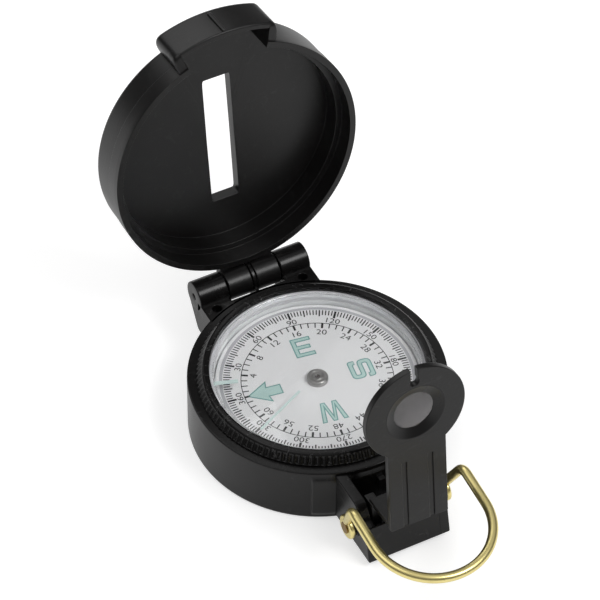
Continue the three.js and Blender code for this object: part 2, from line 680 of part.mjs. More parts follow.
function eyepieceBracket() {
  const through = [-CUT_PAST, LEG_PLATE + CUT_PAST];
  const leg = box(around(legHalf), [-legFront, -legBack], [footLow, headRise]);
  const foot = box(around(legHalf), [-legFront, -FOOT_BACK], [footLow, footTop]);
  const head = headDisc(HEAD_RADIUS, [0, LEG_PLATE], headRise, ROUND);
  const slots = [-1, 1].map((side) => box(
    span(side, LEG_SLOT_X - LEG_SLOT_WIDTH / 2, LEG_SLOT_X + LEG_SLOT_WIDTH / 2),
    [-legFront - CUT_PAST, -legFront + LEG_SLOT_DEPTH], [footLow - CUT_PAST, LEG_SLOT_TOP]));
  const lensHole = headDisc(LENS_WINDOW, through, headRise);
  const lensSeat = headDisc(LENS_RADIUS + SEAT_GAP, [-CUT_PAST, LENS_DEPTH + LENS_EDGE], headRise);
  const retainerSeat = headDisc(retainerRadius + SEAT_GAP, [-CUT_PAST, RETAINER_SEAT], headRise);
  const notchLevel = headRise + NOTCH_RISE;
  const notchHole = headDisc(NOTCH_HOLE_RADIUS, through, notchLevel);
  const notch = box(
    around(NOTCH_WIDTH / 2), [-legFront - CUT_PAST, -legBack + CUT_PAST],
    [notchLevel, headRise + HEAD_RADIUS + CUT_PAST]);
  const axleHole = rod(AXLE_RADIUS + PIN_GAP, around(legHalf + CUT_PAST), 0, 0);
  const body = combine(
    [leg, foot, head, eyepieceEar(-1), eyepieceEar(1)],
    [...slots, lensHole, lensSeat, retainerSeat, notch, notchHole, axleHole]);
  return piece('eyepiece_bracket', body, BLACK_PLASTIC);
}

function magnifierLens() {
  const steps = 6;
  const back = LENS_DEPTH + LENS_EDGE;
  const face = (sign, base) => Array.from({ length: steps + 1 }, (_, i) => {
    const share = i / steps;
    return [LENS_WINDOW * share, base + sign * LENS_BULGE * (1 - share ** 2)];
  });
  const outline = [
    ...face(-1, LENS_DEPTH), [LENS_RADIUS, LENS_DEPTH], [LENS_RADIUS, back], ...face(1, back).reverse(),
  ];
  return piece('magnifier_lens', lensTurn(outline), CLEAR);
}

function lensRetainer() {
  const collar = LENS_RADIUS - SEAT_GAP;
  const ring = lensTurn([
    [LENS_WINDOW, LENS_DEPTH - RETAINER_LIP], [retainerRadius - RETAINER_FLAT, 0], [retainerRadius, 0],
    [retainerRadius, RETAINER_SEAT], [collar, RETAINER_SEAT], [collar, LENS_DEPTH], [LENS_WINDOW, LENS_DEPTH],
  ]);
  return piece('lens_retainer', ring, BLACK_PLASTIC);
}

function eyepieceGroup() {
  const axle = new THREE.Group();
  axle.position.set(0, -axleAhead, AXLE_LEVEL);
  axle.rotation.x = -THREE.MathUtils.degToRad(EYEPIECE_LEAN);
  axle.add(eyepieceBracket(), magnifierLens(), lensRetainer());
  return axle;
}

function axlePin() {
  const end = eyeOuter + AXLE_END_GAP;
  const pin = combine([
    rod(AXLE_RADIUS, around(end + AXLE_HEAD / 2), -axleAhead, AXLE_LEVEL),
    rod(AXLE_HEAD_RADIUS, span(-1, end, end + AXLE_HEAD), -axleAhead, AXLE_LEVEL),
    rod(AXLE_HEAD_RADIUS, span(1, end, end + AXLE_HEAD), -axleAhead, AXLE_LEVEL),
  ]);
  return piece('axle_pin', pin, STEEL);
}

// Dial lock

function lockPlunger() {
  const half = PLUNGER_WIDTH / 2;
  const inner = -dialRadius + PLUNGER_REACH;
  const collar = -caseBore + COLLAR_GAP;
  const shoulder = plungerTop - BRAKE_ROOT;
  const bar = box(around(half), [-CASE_RADIUS - PLUNGER_OUT, inner], [plungerLow, plungerTop]);
  const pad = box(around(half), [inner - PLUNGER_WIDTH, inner], [shoulder, plungerTop + BRAKE_PAD]);
  const stop = box(around(half + COLLAR), [collar, collar + COLLAR], [plungerLow, shoulder]);
  return piece('lock_plunger', combine([bar, pad, stop]), BLACK_PLASTIC);
}

// Thumb ring, about the axle

function ringSide(side, armHalf, fall) {
  // From the eye up the neck, round the elbow and along the arm.
  const root = new THREE.Vector3(side * eyeMiddle, 0, EYE_ROOT);
  const elbow = new THREE.Vector3(side * armHalf, -RING_ELBOW, RING_RISE);
  const armEnd = new THREE.Vector3(side * armHalf, -RING_ARM, fall(RING_ARM));
  const bendStart = elbow.clone().lerp(root, RING_BEND / elbow.distanceTo(root));
  const bendEnd = elbow.clone().lerp(armEnd, RING_BEND / elbow.distanceTo(armEnd));
  return [root, bendStart, elbow, bendEnd, armEnd];
}

function ringPath() {
  const armHalf = eyeMiddle + RING_SPREAD;
  const fall = (ahead) => RING_RISE - RING_SLOPE * (ahead - RING_ELBOW);
  const [rootL, bendStartL, elbowL, bendEndL, armEndL] = ringSide(-1, armHalf, fall);
  const [rootR, bendStartR, elbowR, bendEndR, armEndR] = ringSide(1, armHalf, fall);
  const bowSteps = 24;
  const bow = Array.from({ length: bowSteps + 1 }, (_, i) => {
    const angle = Math.PI * (i / bowSteps);
    const ahead = RING_ARM + armHalf * Math.sin(angle);
    return new THREE.Vector3(-armHalf * Math.cos(angle), -ahead, fall(ahead));
  });
  const path = new THREE.CurvePath();
  path.add(new THREE.LineCurve3(rootL, bendStartL));
  path.add(new THREE.QuadraticBezierCurve3(bendStartL, elbowL, bendEndL));
  path.add(new THREE.LineCurve3(bendEndL, armEndL));
  path.add(new THREE.CatmullRomCurve3(bow));
  path.add(new THREE.LineCurve3(armEndR, bendEndR));
  path.add(new THREE.QuadraticBezierCurve3(bendEndR, elbowR, bendStartR));
  path.add(new THREE.LineCurve3(bendStartR, rootR));
  return path;
}

function thumbRing() {
  const section = new THREE.Shape().absarc(0, 0, RING_WIRE, 0, Math.PI * 2);
  const wire = new THREE.ExtrudeGeometry(section, { steps: 80, curveSegments: 6, extrudePath: ringPath() });
  const sides = [-1, 1];
  const eyes = sides.map((side) => rod(EYE_RADIUS, span(side, eyeInner, eyeOuter), 0, 0));
  const flattened = sides.map((side) => box(
    span(side, eyeInner - RING_WIRE, eyeInner), around(EYE_RADIUS), around(EYE_RADIUS)));
  const headRoom = sides.map((side) => rod(
    AXLE_HEAD_RADIUS + RUN_GAP, span(side, eyeOuter, eyeOuter + RING_WIRE), 0, 0));
  const hole = rod(AXLE_RADIUS + PIN_GAP, around(eyeOuter + CUT_PAST), 0, 0);
  const ring = piece('thumb_ring', combine([wire, ...eyes], [hole, ...flattened, ...headRoom]), BRASS);
  ring.position.set(0, -axleAhead, AXLE_LEVEL);
  return ring;
}

const compass = new THREE.Group();
compass.name = 'sighting_compass';
compass.add(
  caseBody(), capsuleCup(), pivotPost(), pivotNeedle(),
  dialCard(), dialMagnet(), hubCap(), jewelBearing(),
  detentRing(), bezelRing(), crystalGasket(), crystal(),
  longLine(), shortLine(), hingePin(), coverGroup(),
  axlePin(), eyepieceGroup(), lockPlunger(), thumbRing(),
);

export default compass;
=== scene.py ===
"""Folding sighting compass: the dressed model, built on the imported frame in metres."""

import json
import math

import bmesh
import bpy
import numpy as np
from mathutils import Matrix, Vector
from mathutils.geometry import tessellate_polygon

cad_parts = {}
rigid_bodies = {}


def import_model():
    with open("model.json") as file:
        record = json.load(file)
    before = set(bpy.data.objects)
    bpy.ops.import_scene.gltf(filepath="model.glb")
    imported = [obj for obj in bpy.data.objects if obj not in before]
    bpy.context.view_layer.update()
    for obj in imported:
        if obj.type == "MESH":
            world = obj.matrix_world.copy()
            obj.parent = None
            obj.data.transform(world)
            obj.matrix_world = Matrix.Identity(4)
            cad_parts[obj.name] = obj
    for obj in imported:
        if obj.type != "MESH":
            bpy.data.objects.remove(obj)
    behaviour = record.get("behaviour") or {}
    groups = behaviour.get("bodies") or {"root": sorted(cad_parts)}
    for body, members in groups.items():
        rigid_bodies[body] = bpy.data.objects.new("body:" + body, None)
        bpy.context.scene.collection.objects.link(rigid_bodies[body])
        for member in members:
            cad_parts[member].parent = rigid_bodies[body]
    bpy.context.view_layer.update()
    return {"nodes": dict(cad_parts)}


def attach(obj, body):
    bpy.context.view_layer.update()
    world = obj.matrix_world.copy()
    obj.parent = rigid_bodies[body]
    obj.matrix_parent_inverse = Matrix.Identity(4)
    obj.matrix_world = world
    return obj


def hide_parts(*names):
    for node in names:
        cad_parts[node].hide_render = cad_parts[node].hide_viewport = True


for leftover in list(bpy.data.objects):
    bpy.data.objects.remove(leftover)
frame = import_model()

# Moulded case: a round drum, a front block with two cheeks round a recess, and two hinge wings.
# It is black plastic from one mould. Each wall is a computed surface, and they are welded into one mesh.
MM = 0.001
WELD = 2e-6
CREASE = math.radians(38.0)
ROUND = np.linspace(0, 2 * np.pi, 241)[:-1]
CASE_RADIUS = 27.5
CASE_HEIGHT = 13.9
CASE_BORE = 25.8
CASE_LIP = 25.1
CASE_LIP_LOW = 13.2
CASE_FLOOR = 2.0
PAD_PROUD = 0.5
PAD_LEVELS = (1.1, 12.8)
PAD_BLEND = 0.8
PAD_FROM = 27.0
PAD_HALF = math.radians(30.0)
PAD_SIDE = math.radians(1.0)
AXLE_Y = -34.8
AXLE_Z = 7.6
HINGE_Y = 31.8
HINGE_Z = 14.0
BARREL = 3.4
PIN_BORE = 1.3
RIB = 0.35
WING_NEAR = 6.4
WING_FAR = 13.2
WING_ROOT = 26.6
WING_HOLE = (10.3, 26.6)
BLOCK_FRONT = -41.3
BLOCK_BACK = -25.2
BLOCK_LOW = 1.5
BLOCK_LEDGE = (-39.2, 10.0)
CHEEK_NEAR = 7.0
CHEEK_FAR = 9.5
SILL_LOW = 9.2
SILL_BACK = 27.36
SILL_HALF = 6.7


def fillet(corners, setback, steps=5):
    """Closed outlines: each corner becomes the parabola tangent to both its sides at the setback."""
    points = np.asarray(corners, float)
    back = np.roll(points, 1, axis=-2) - points
    ahead = np.roll(points, -1, axis=-2) - points
    back_length = np.linalg.norm(back, axis=-1, keepdims=True)
    ahead_length = np.linalg.norm(ahead, axis=-1, keepdims=True)
    reach = np.broadcast_to(np.asarray(setback, float), points.shape[-2])[:, None]
    reach = np.minimum(reach, 0.45 * np.minimum(back_length, ahead_length))
    start = (points + back / back_length * reach)[..., None, :]
    end = (points + ahead / ahead_length * reach)[..., None, :]
    t = np.linspace(0, 1, steps)[:, None]
    curve = (1 - t) ** 2 * start + 2 * t * (1 - t) * points[..., None, :] + t * t * end
    return curve.reshape(*points.shape[:-2], -1, 2)


def refine(outline, spacing):
    """Closed outline sampled along its length: its own points, and more at most the spacing apart."""
    loop = np.vstack([outline, outline[:1]])
    along = np.concatenate([[0], np.cumsum(np.linalg.norm(np.diff(loop, axis=0), axis=1))])
    samples = np.union1d(along, np.arange(0, along[-1], spacing))[:-1]
    return np.column_stack([np.interp(samples, along, loop[:, 0]), np.interp(samples, along, loop[:, 1])])


def ease(x):
    """Smooth step from 0 to 1: three x squared less two x cubed, held flat outside."""
    x = np.clip(x, 0, 1)
    return x * x * (3 - 2 * x)


def skin(points, round_u=True, round_v=True):
    """Surface through a grid of points, with one quad for each cell of its two parameters."""
    count_u, count_v = points.shape[:2]
    u = np.arange(count_u if round_u else count_u - 1)[:, None]
    v = np.arange(count_v if round_v else count_v - 1)[None, :]
    next_u = (u + 1) % count_u
    next_v = (v + 1) % count_v
    corners = [u * count_v + v, next_u * count_v + v, next_u * count_v + next_v, u * count_v + next_v]
    return [(points.reshape(-1, 3), np.stack(np.broadcast_arrays(*corners), axis=-1).reshape(-1, 4))]


def carried(radius, height, angle):
    """Profile carried round Z: x is r cos a, y is r sin a. It may change with the angle."""
    x, y = radius * np.cos(angle), radius * np.sin(angle)
    return skin(np.stack(np.broadcast_arrays(x, y, height), axis=-1))


def turned(outline, angles=ROUND):
    """One outline of radius and height carried round Z, the same at every angle."""
    return carried(outline[:, 0], outline[:, 1], angles[:, None])


def spokes(angles):
    """Points of the unit circle: the cosine and sine of each angle."""
    return np.stack([np.cos(angles), np.sin(angles)], axis=-1)


def inset(loop, distance):
    """Closed loop moved to its left by the distance, along the mitre of the two sides at each point."""
    side = np.roll(loop, -1, axis=0) - loop
    normal = np.column_stack([-side[:, 1], side[:, 0]]) / np.linalg.norm(side, axis=1, keepdims=True)
    before = np.roll(normal, 1, axis=0)
    mitre = (normal + before) / (1 + np.sum(normal * before, axis=1, keepdims=True))
    return loop + distance * mitre


def wound(loop, turn):
    """Loop run the given way round: turn 1 keeps its inside on the left, -1 on the right."""
    loop = np.asarray(loop, float)
    ahead = np.roll(loop, -1, axis=0)
    area = np.sum(loop[:, 0] * ahead[:, 1] - loop[:, 1] * ahead[:, 0])
    return loop if area * turn > 0 else loop[::-1]


def slab(loops, low, high, edge):
    """Plate in u, v and height: the loops filled at both ends, with quarter-round edges between."""
    turn = np.linspace(0, np.pi / 2, 4)
    inward = edge * (1 - np.sin(turn))
    drop = edge * (1 - np.cos(turn))
    inward = np.concatenate([inward, inward[::-1]])
    height = np.concatenate([high - drop, (low + drop)[::-1]])
    loops = [wound(loop, 1 if i == 0 else -1) for i, loop in enumerate(loops)]
    parts = []
    for loop in loops:
        rings = [np.column_stack([inset(loop, d), np.full(len(loop), h)]) for d, h in zip(inward, height)]
        parts += skin(np.stack(rings), round_u=False)
    rims = [inset(loop, edge) for loop in loops]
    fill = np.array(tessellate_polygon([[Vector((*p, 0)) for p in rim] for rim in rims]))
    flat = np.concatenate(rims)
    for level in (high, low):
        parts.append((np.column_stack([flat, np.full(len(flat), level)]), fill))
    return parts


def sideways(parts):
    """Parts drawn as y, z and x put in their place."""
    return [(points[:, [2, 0, 1]], faces) for points, faces in parts]


def crosswise(parts, y, z):
    """Parts turned about Z laid along X, about the line at y and z."""
    return [(points[:, [2, 0, 1]] + (0, y, z), faces) for points, faces in parts]


def mirrored(parts):
    """The parts and their mirror images across the middle plane."""
    return parts + [(points * (-1, 1, 1), faces[:, ::-1]) for points, faces in parts]


def barrel(near, far, mouth=PIN_BORE, edge=0.3):
    """Hollow knuckle on the hinge line, turned: a bore narrowed to a mouth at the far end, rounded ends."""
    corners = [
        (PIN_BORE, near), (BARREL, near), (BARREL, far),
        (mouth, far), (mouth, far - 0.5), (PIN_BORE, far - 0.55),
    ]
    edges = [0.1, edge, edge, 0.15, 0.02, 0.02]
    return crosswise(turned(fillet(corners, edges), ROUND[::3]), HINGE_Y, HINGE_Z)


def assemble(name, parts, material, body, nodes=()):
    """One object from parts in millimetres: welded, faced outwards, smooth except at creases."""
    mesh = bpy.data.meshes.new(name)
    starts = np.cumsum([0] + [len(points) for points, _ in parts])
    faces = [face for (_, part), start in zip(parts, starts) for face in (part + start).tolist()]
    mesh.from_pydata((np.concatenate([points for points, _ in parts]) * MM).tolist(), [], faces)
    shell = bmesh.new()
    shell.from_mesh(mesh)
    bmesh.ops.remove_doubles(shell, verts=shell.verts, dist=WELD)
    bmesh.ops.recalc_face_normals(shell, faces=shell.faces)
    shell.to_mesh(mesh)
    shell.free()
    mesh.shade_smooth()
    mesh.set_sharp_from_angle(angle=CREASE)
    mesh.materials.append(material)
    made = bpy.data.objects.new(name, mesh)
    bpy.context.scene.collection.objects.link(made)
    normals = made.modifiers.new("flat_faces", "WEIGHTED_NORMAL")
    normals.keep_sharp = True
    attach(made, body)
    if nodes:
        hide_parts(*nodes)


def shade(red, green, blue):
    """Screen colour out of 255 as the linear colour that a shader takes."""
    screen = np.array([red, green, blue]) / 255
    linear = np.where(screen <= 0.04045, screen / 12.92, ((screen + 0.055) / 1.055) ** 2.4)
    return (*linear.tolist(), 1.0)


def node(tree, kind, sockets=None, **settings):
    """Shader node with its settings, where each named socket takes a value or a link."""
    made = tree.nodes.new(kind)
    for key, value in settings.items():
        setattr(made, key, value)
    for key, value in (sockets or {}).items():
        if isinstance(value, bpy.types.NodeSocket):
            tree.links.new(value, made.inputs[key])
        else:
            made.inputs[key].default_value = value
    return made


def maths(tree, operation, *values):
    """Output of one Math node on the values."""
    return node(tree, "ShaderNodeMath", dict(enumerate(values)), operation=operation).outputs[0]


def mixed(tree, share, first, second):
    """Colour that goes from the first to the second with the share, by the colour sockets of a Mix node."""
    return node(tree, "ShaderNodeMix", {0: share, 6: first, 7: second}, data_type="RGBA").outputs[2]


def effect(name, inputs, outputs):
    """Empty node group with named sockets, and its two end nodes."""
    tree = bpy.data.node_groups.new(name, "ShaderNodeTree")
    for label, value in inputs.items():
        kind = "NodeSocketColor" if isinstance(value, tuple) else "NodeSocketFloat"
        tree.interface.new_socket(label, in_out="INPUT", socket_type=kind).default_value = value
    for label, kind in outputs.items():
        tree.interface.new_socket(label, in_out="OUTPUT", socket_type=kind)
    return tree, tree.nodes.new("NodeGroupInput").outputs, tree.nodes.new("NodeGroupOutput").inputs


def surface(name, sockets):
    """Material with a Principled shader, whose plain sockets take the given values."""
    made = bpy.data.materials.new(name)
    made.use_nodes = True
    shader = made.node_tree.nodes["Principled BSDF"]
    for label, value in sockets.items():
        shader.inputs[label].default_value = value
    return made, made.node_tree, shader


def finished(name, group, plain, values):
    """Material whose shader takes its colour, roughness and normal from a shared node group."""
    made, tree, shader = surface(name, plain)
    finish = node(tree, "ShaderNodeGroup", values, node_tree=group)
    for given_by, taken_by in (("Color", "Base Color"), ("Roughness", "Roughness"), ("Normal", "Normal")):
        tree.links.new(finish.outputs[given_by], shader.inputs[taken_by])
    return made


# The moulded finish: fine pits from the mould, slow drifts of tone and gloss, and pale scuffs from use.
PIT_HEIGHT = 0.00003
GLOSS_SWING = 0.4
SCUFF_DULLING = 0.3
GRAIN = 1800.0
moulding, given, result = effect(
    "moulded_finish",
    {
        "Color": (0.02, 0.02, 0.02, 1.0), "Scuff": (0.18, 0.18, 0.18, 1.0), "Roughness": 0.4,
        "Pits": 5000.0, "Depth": 0.2, "Drift": 0.25, "Wear": 0.0,
    },
    {"Color": "NodeSocketColor", "Roughness": "NodeSocketFloat", "Normal": "NodeSocketVector"},
)
place = node(moulding, "ShaderNodeTexCoord").outputs["Object"]
pits = node(moulding, "ShaderNodeTexNoise", {"Vector": place, "Scale": given["Pits"], "Detail": 2.0})
drift = node(moulding, "ShaderNodeTexNoise", {"Vector": place, "Scale": 160.0, "Detail": 4.0})
swing = maths(moulding, "SUBTRACT", drift.outputs["Fac"], 0.5)
swing = maths(moulding, "MULTIPLY", swing, given["Drift"])
lift = maths(moulding, "ADD", swing, 1.0)
tone = node(moulding, "ShaderNodeVectorMath", {0: given["Color"], 3: lift}, operation="SCALE")
gloss = maths(moulding, "MULTIPLY_ADD", swing, GLOSS_SWING, given["Roughness"])
dimple = node(
    moulding, "ShaderNodeBump",
    {"Height": pits.outputs["Fac"], "Strength": given["Depth"], "Distance": PIT_HEIGHT})
rubs = node(
    moulding, "ShaderNodeTexNoise",
    {"Vector": place, "Scale": 420.0, "Detail": 8.0, "Roughness": 0.75, "Distortion": 1.2})
mark = node(
    moulding, "ShaderNodeMapRange",
    {
        "Value": rubs.outputs["Fac"], "From Min": 0.56, "From Max": 0.74,
        "To Min": 0.0, "To Max": given["Wear"],
    })
scuffed = mixed(moulding, mark.outputs[0], tone.outputs[0], given["Scuff"])
dulled = maths(moulding, "MULTIPLY_ADD", mark.outputs[0], SCUFF_DULLING, gloss)
moulding.links.new(scuffed, result["Color"])
moulding.links.new(dulled, result["Roughness"])
moulding.links.new(dimple.outputs["Normal"], result["Normal"])


def moulded(name, colour, roughness, pits=5000.0, depth=0.2, drift=0.25, specular=0.5, wear=0.0):
    """Moulded plastic: the shared finish in one colour, with its plain sockets set."""
    values = {
        "Color": colour, "Roughness": roughness, "Pits": pits, "Depth": depth, "Drift": drift, "Wear": wear,
    }
    return finished(name, moulding, {"Specular IOR Level": specular}, values)


case_black = moulded("case_black", shade(15, 14, 14), 0.25, GRAIN, 0.25, specular=0.32, wear=0.12)


def drum():
    """Case wall and floor turned round Z, with a pad swelled out at the front and a flat at the hinge."""
    corners = [
        (0, 0), (CASE_RADIUS, 0), (CASE_RADIUS, CASE_HEIGHT), (CASE_LIP, CASE_HEIGHT),
        (CASE_LIP, CASE_LIP_LOW), (CASE_BORE, CASE_LIP_LOW), (CASE_BORE, CASE_FLOOR), (0, CASE_FLOOR),
    ]
    outline = refine(fillet(corners, [0, 0.6, 0.3, 0.2, 0.1, 0.1, 0.4, 0]), 0.5)
    radius, height = outline[:, 0], outline[:, 1]
    edges = np.array([-np.pi / 2 - PAD_HALF, -np.pi / 2 + PAD_HALF])[:, None]
    near_edges = (edges + np.radians(np.linspace(-1, 1, 9))).ravel() % (2 * np.pi)
    angle = np.unique(np.concatenate([ROUND, near_edges]))[:, None]
    off_front = np.abs((angle + np.pi / 2 + np.pi) % (2 * np.pi) - np.pi)
    swell = ease((PAD_HALF + PAD_SIDE / 2 - off_front) / PAD_SIDE)
    low, high = PAD_LEVELS
    swell = swell * ease((height - low) / PAD_BLEND) * ease((high - height) / PAD_BLEND) * (radius > PAD_FROM)
    radius = radius + PAD_PROUD * swell
    x, y = radius * np.cos(angle), radius * np.sin(angle)
    behind_sill = (np.abs(x) < WING_NEAR) & (height > SILL_LOW)
    y = np.where(behind_sill, np.minimum(y, SILL_BACK), y)
    return skin(np.stack(np.broadcast_arrays(x, y, height), axis=-1))


def front_block():
    """Plates for the cheeks, the front wall and the recess floor, and a turned boss on each cheek."""
    cheek = fillet(
        [
            (BLOCK_FRONT, BLOCK_LOW), (BLOCK_BACK, BLOCK_LOW), (BLOCK_BACK, 13.3),
            (-35.3, 13.3), (-36.9, 10.0), BLOCK_LEDGE,
        ],
        [0.5, 0.05, 0.05, 2.6, 1.2, 0.4],
    )
    wall = fillet(
        [(BLOCK_FRONT, BLOCK_LOW), (-38.5, BLOCK_LOW), (-38.5, 9.7), BLOCK_LEDGE],
        [0.5, 0.05, 0.1, 0.4],
    )
    floor = [(-7.2, -39.0), (7.2, -39.0), (7.2, -25.4), (-7.2, -25.4)]
    boss = fillet([(0, 9.2), (2.6, 9.2), (2.6, 10.3), (0, 10.3)], [0, 0.05, 0.25, 0])
    sides = sideways(slab([cheek], CHEEK_NEAR, CHEEK_FAR, 0.3))
    sides += crosswise(turned(boss, ROUND[::4]), AXLE_Y, AXLE_Z)
    return mirrored(sides) + sideways(slab([wall], -7.4, 7.4, 0.02)) + slab([floor], BLOCK_LOW, 4.3, 0.1)


def wings():
    """Wedge under each wing, a top plate with a blind hole, the barrels, the sill and its middle rib."""
    wedge = fillet(
        [(23.9, 5.2), (30.3, 5.2), (34.68, 12.2), (33.4, 14.4), (31.0, 13.4), (30.0, 11.9), (23.9, 11.9)],
        [0.1, 0.6, 0.1, 0.1, 0.1, 0.1, 0.1],
    )
    x = np.linspace(WING_NEAR, WING_FAR, 12)
    root = np.column_stack([x, np.sqrt(WING_ROOT ** 2 - x ** 2)])
    top = np.vstack([root, [(WING_FAR, 30.0), (WING_NEAR, 30.0)]])
    turn = np.linspace(0, 2 * np.pi, 33)[:-1]
    hole = spokes(turn) + WING_HOLE
    side = sideways(slab([wedge], WING_NEAR, WING_FAR - 0.06, 0.25))
    side += slab([top, hole], 11.1, CASE_HEIGHT, 0.2) + barrel(WING_NEAR, WING_FAR, mouth=0.75)
    x = np.linspace(-SILL_HALF, SILL_HALF, 24)
    arc = np.column_stack([x, np.sqrt(WING_ROOT ** 2 - x ** 2)])
    shelf = np.vstack([arc, [(SILL_HALF, SILL_BACK), (-SILL_HALF, SILL_BACK)]])
    rib = [(26.8, 9.4), (30.0, 9.4), (31.8, 11.5), (31.8, 14.0), (28.8, 13.6), (26.8, 13.6)]
    middle = barrel(-RIB, RIB, edge=0.1) + sideways(slab([rib], -RIB, RIB, 0.1))
    return mirrored(side) + slab([shelf], SILL_LOW, CASE_HEIGHT, 0.2) + middle


assemble("case", drum() + front_block() + wings(), case_black, "base", ["case_body"])

# Hinge and pivot hardware: the steel hinge pin, spring ring and needle, and a brass post.
# They are turned or stamped parts, whose plain CAD shapes are right, so they stay with metal finishes.
TARNISH_DULLING = 0.3
SCRATCH_DEPTH = 0.08
SCRATCH_HEIGHT = 0.00002
worn, given, result = effect(
    "handled_metal",
    {"Color": (0.5, 0.5, 0.5, 1.0), "Tarnish": (0.2, 0.2, 0.2, 1.0), "Amount": 0.4, "Roughness": 0.25},
    {"Color": "NodeSocketColor", "Roughness": "NodeSocketFloat", "Normal": "NodeSocketVector"},
)
place = node(worn, "ShaderNodeTexCoord").outputs["Object"]
cloud = node(worn, "ShaderNodeTexNoise", {"Vector": place, "Scale": 350.0, "Detail": 5.0})
cloud = node(worn, "ShaderNodeMapRange", {"Value": cloud.outputs["Fac"], "From Min": 0.45, "From Max": 0.75})
amount = maths(worn, "MULTIPLY", cloud.outputs[0], given["Amount"])
colour = mixed(worn, amount, given["Color"], given["Tarnish"])
dull = maths(worn, "MULTIPLY_ADD", amount, TARNISH_DULLING, given["Roughness"])
scuffs = node(worn, "ShaderNodeTexNoise", {"Vector": place, "Scale": 2600.0, "Detail": 3.0})
scratch = node(
    worn, "ShaderNodeBump",
    {"Height": scuffs.outputs["Fac"], "Strength": SCRATCH_DEPTH, "Distance": SCRATCH_HEIGHT})
worn.links.new(colour, result["Color"])
worn.links.new(dull, result["Roughness"])
worn.links.new(scratch.outputs["Normal"], result["Normal"])


def metal(name, colour, tarnish, amount, roughness):
    """Handled metal: the shared tarnish and scuffs between two colours."""
    values = {"Color": colour, "Tarnish": tarnish, "Amount": amount, "Roughness": roughness}
    return finished(name, worn, {"Metallic": 1.0}, values)


def refinish(material, *names):
    """Gives CAD nodes whose shape stays a finished material."""
    for name in names:
        for holder in frame["nodes"][name].material_slots:
            holder.material = material


steel = metal("hinge_steel", shade(150, 150, 152), shade(80, 76, 72), 0.5, 0.3)
refinish(steel, "hinge_pin", "detent_ring", "pivot_needle")
refinish(metal("post_brass", shade(205, 175, 95), shade(110, 82, 40), 0.5, 0.3), "pivot_post")

# Capsule cup and plunger: a white plastic cup holds the dial, and the folded eyepiece presses in a peg.
# Both are small mouldings, mostly hidden, whose CAD shapes stay.
cup_white = moulded("cup_white", shade(226, 227, 228), 0.45, depth=0.1, drift=0.06)
refinish(cup_white, "capsule_cup")
refinish(moulded("plunger_black", shade(16, 15, 15), 0.4), "lock_plunger")

# Dial: a white plastic card with a bar magnet under it, a jewel, and a turned metal hub cap.
# The card, magnet and jewel keep their CAD shapes. The card's thin rim and the hub are turned.
dial_white = moulded("dial_white", shade(224, 223, 224), 0.38, depth=0.05, drift=0.04)
refinish(dial_white, "dial_card")
refinish(metal("magnet_dark", shade(96, 96, 98), shade(52, 48, 46), 0.5, 0.4), "dial_magnet")
jewel_smoke, tree, shader = surface("jewel_smoke", {"Roughness": 0.08, "IOR": 1.76})
place = node(tree, "ShaderNodeTexCoord").outputs["Object"]
veil = node(tree, "ShaderNodeTexNoise", {"Vector": place, "Scale": 1500.0})
stone = mixed(tree, veil.outputs["Fac"], shade(42, 38, 38), shade(66, 58, 56))
tree.links.new(stone, shader.inputs["Base Color"])
refinish(jewel_smoke, "jewel_bearing")

rim_outline = fillet([(20.8, 11.2), (21.55, 11.2), (21.55, 11.56), (20.8, 11.58)], [0.05, 0.05, 0.1, 0.01])
assemble("dial_rim", turned(rim_outline), dial_white, "dial")
hub_outline = fillet(
    [
        (0.5, 12.4), (0.5, 12.75), (0.95, 12.8), (1.1, 12.6), (1.35, 12.6), (1.5, 12.8), (1.95, 12.8),
        (2.25, 12.5), (2.25, 11.62), (2.0, 11.62), (2.0, 10.3), (1.0, 10.3), (1.0, 12.4),
    ],
    [0.02, 0.06, 0.04, 0.04, 0.04, 0.04, 0.12, 0.12, 0.05, 0.05, 0.05, 0.05, 0.05],
)
hub_metal = metal("hub_metal", shade(166, 164, 162), shade(108, 104, 100), 0.4, 0.34)
assemble("hub", turned(hub_outline, ROUND[::3]), hub_metal, "dial", ["hub_cap"])

# Dial printing: black degree and mil scales, their figures, a teal arrow and letters, and a grey ring of
# painted shade.
# Each is a thin layer on the card, made flat from computed outlines and given its thickness.
NORTH = math.radians(171.17)
CARD_TOP = 11.6
INK = 0.012
FIRST_COAT = CARD_TOP + 0.004
SECOND_COAT = FIRST_COAT + INK
SIGN_EDGE = 0.26
DEGREE_RING = 19.9
MIL_RING = 16.13
MIL_STEP = 360 / 64


def on_dial(flat, bearing):
    """Points drawn as across and outwards from the centre, turned to a bearing clockwise from north."""
    angle = NORTH - np.radians(bearing)
    across, out = flat[..., 0], flat[..., 1]
    x = out * np.cos(angle) + across * np.sin(angle)
    y = out * np.sin(angle) - across * np.cos(angle)
    return np.stack([x, y], axis=-1)


def ticks(bearings, inner, outer, width):
    """One quad for each bearing, from the inner to the outer radius, centred on its line."""
    flat = np.array([(-width / 2, inner), (width / 2, inner), (width / 2, outer), (-width / 2, outer)])
    marks = on_dial(flat[None], np.asarray(bearings, float)[:, None])
    return marks.reshape(-1, 2), np.arange(marks.size // 2).reshape(-1, 4)


def circle(inner, outer):
    """Flat ring between two radii: a grid of angle by radius."""
    ring = spokes(ROUND)
    points = np.stack([ring * outer, ring * inner], axis=1)
    flat, faces = skin(np.concatenate([points, points[..., :1] * 0], axis=-1), round_v=False)[0]
    return flat[:, :2], faces[:, ::-1]


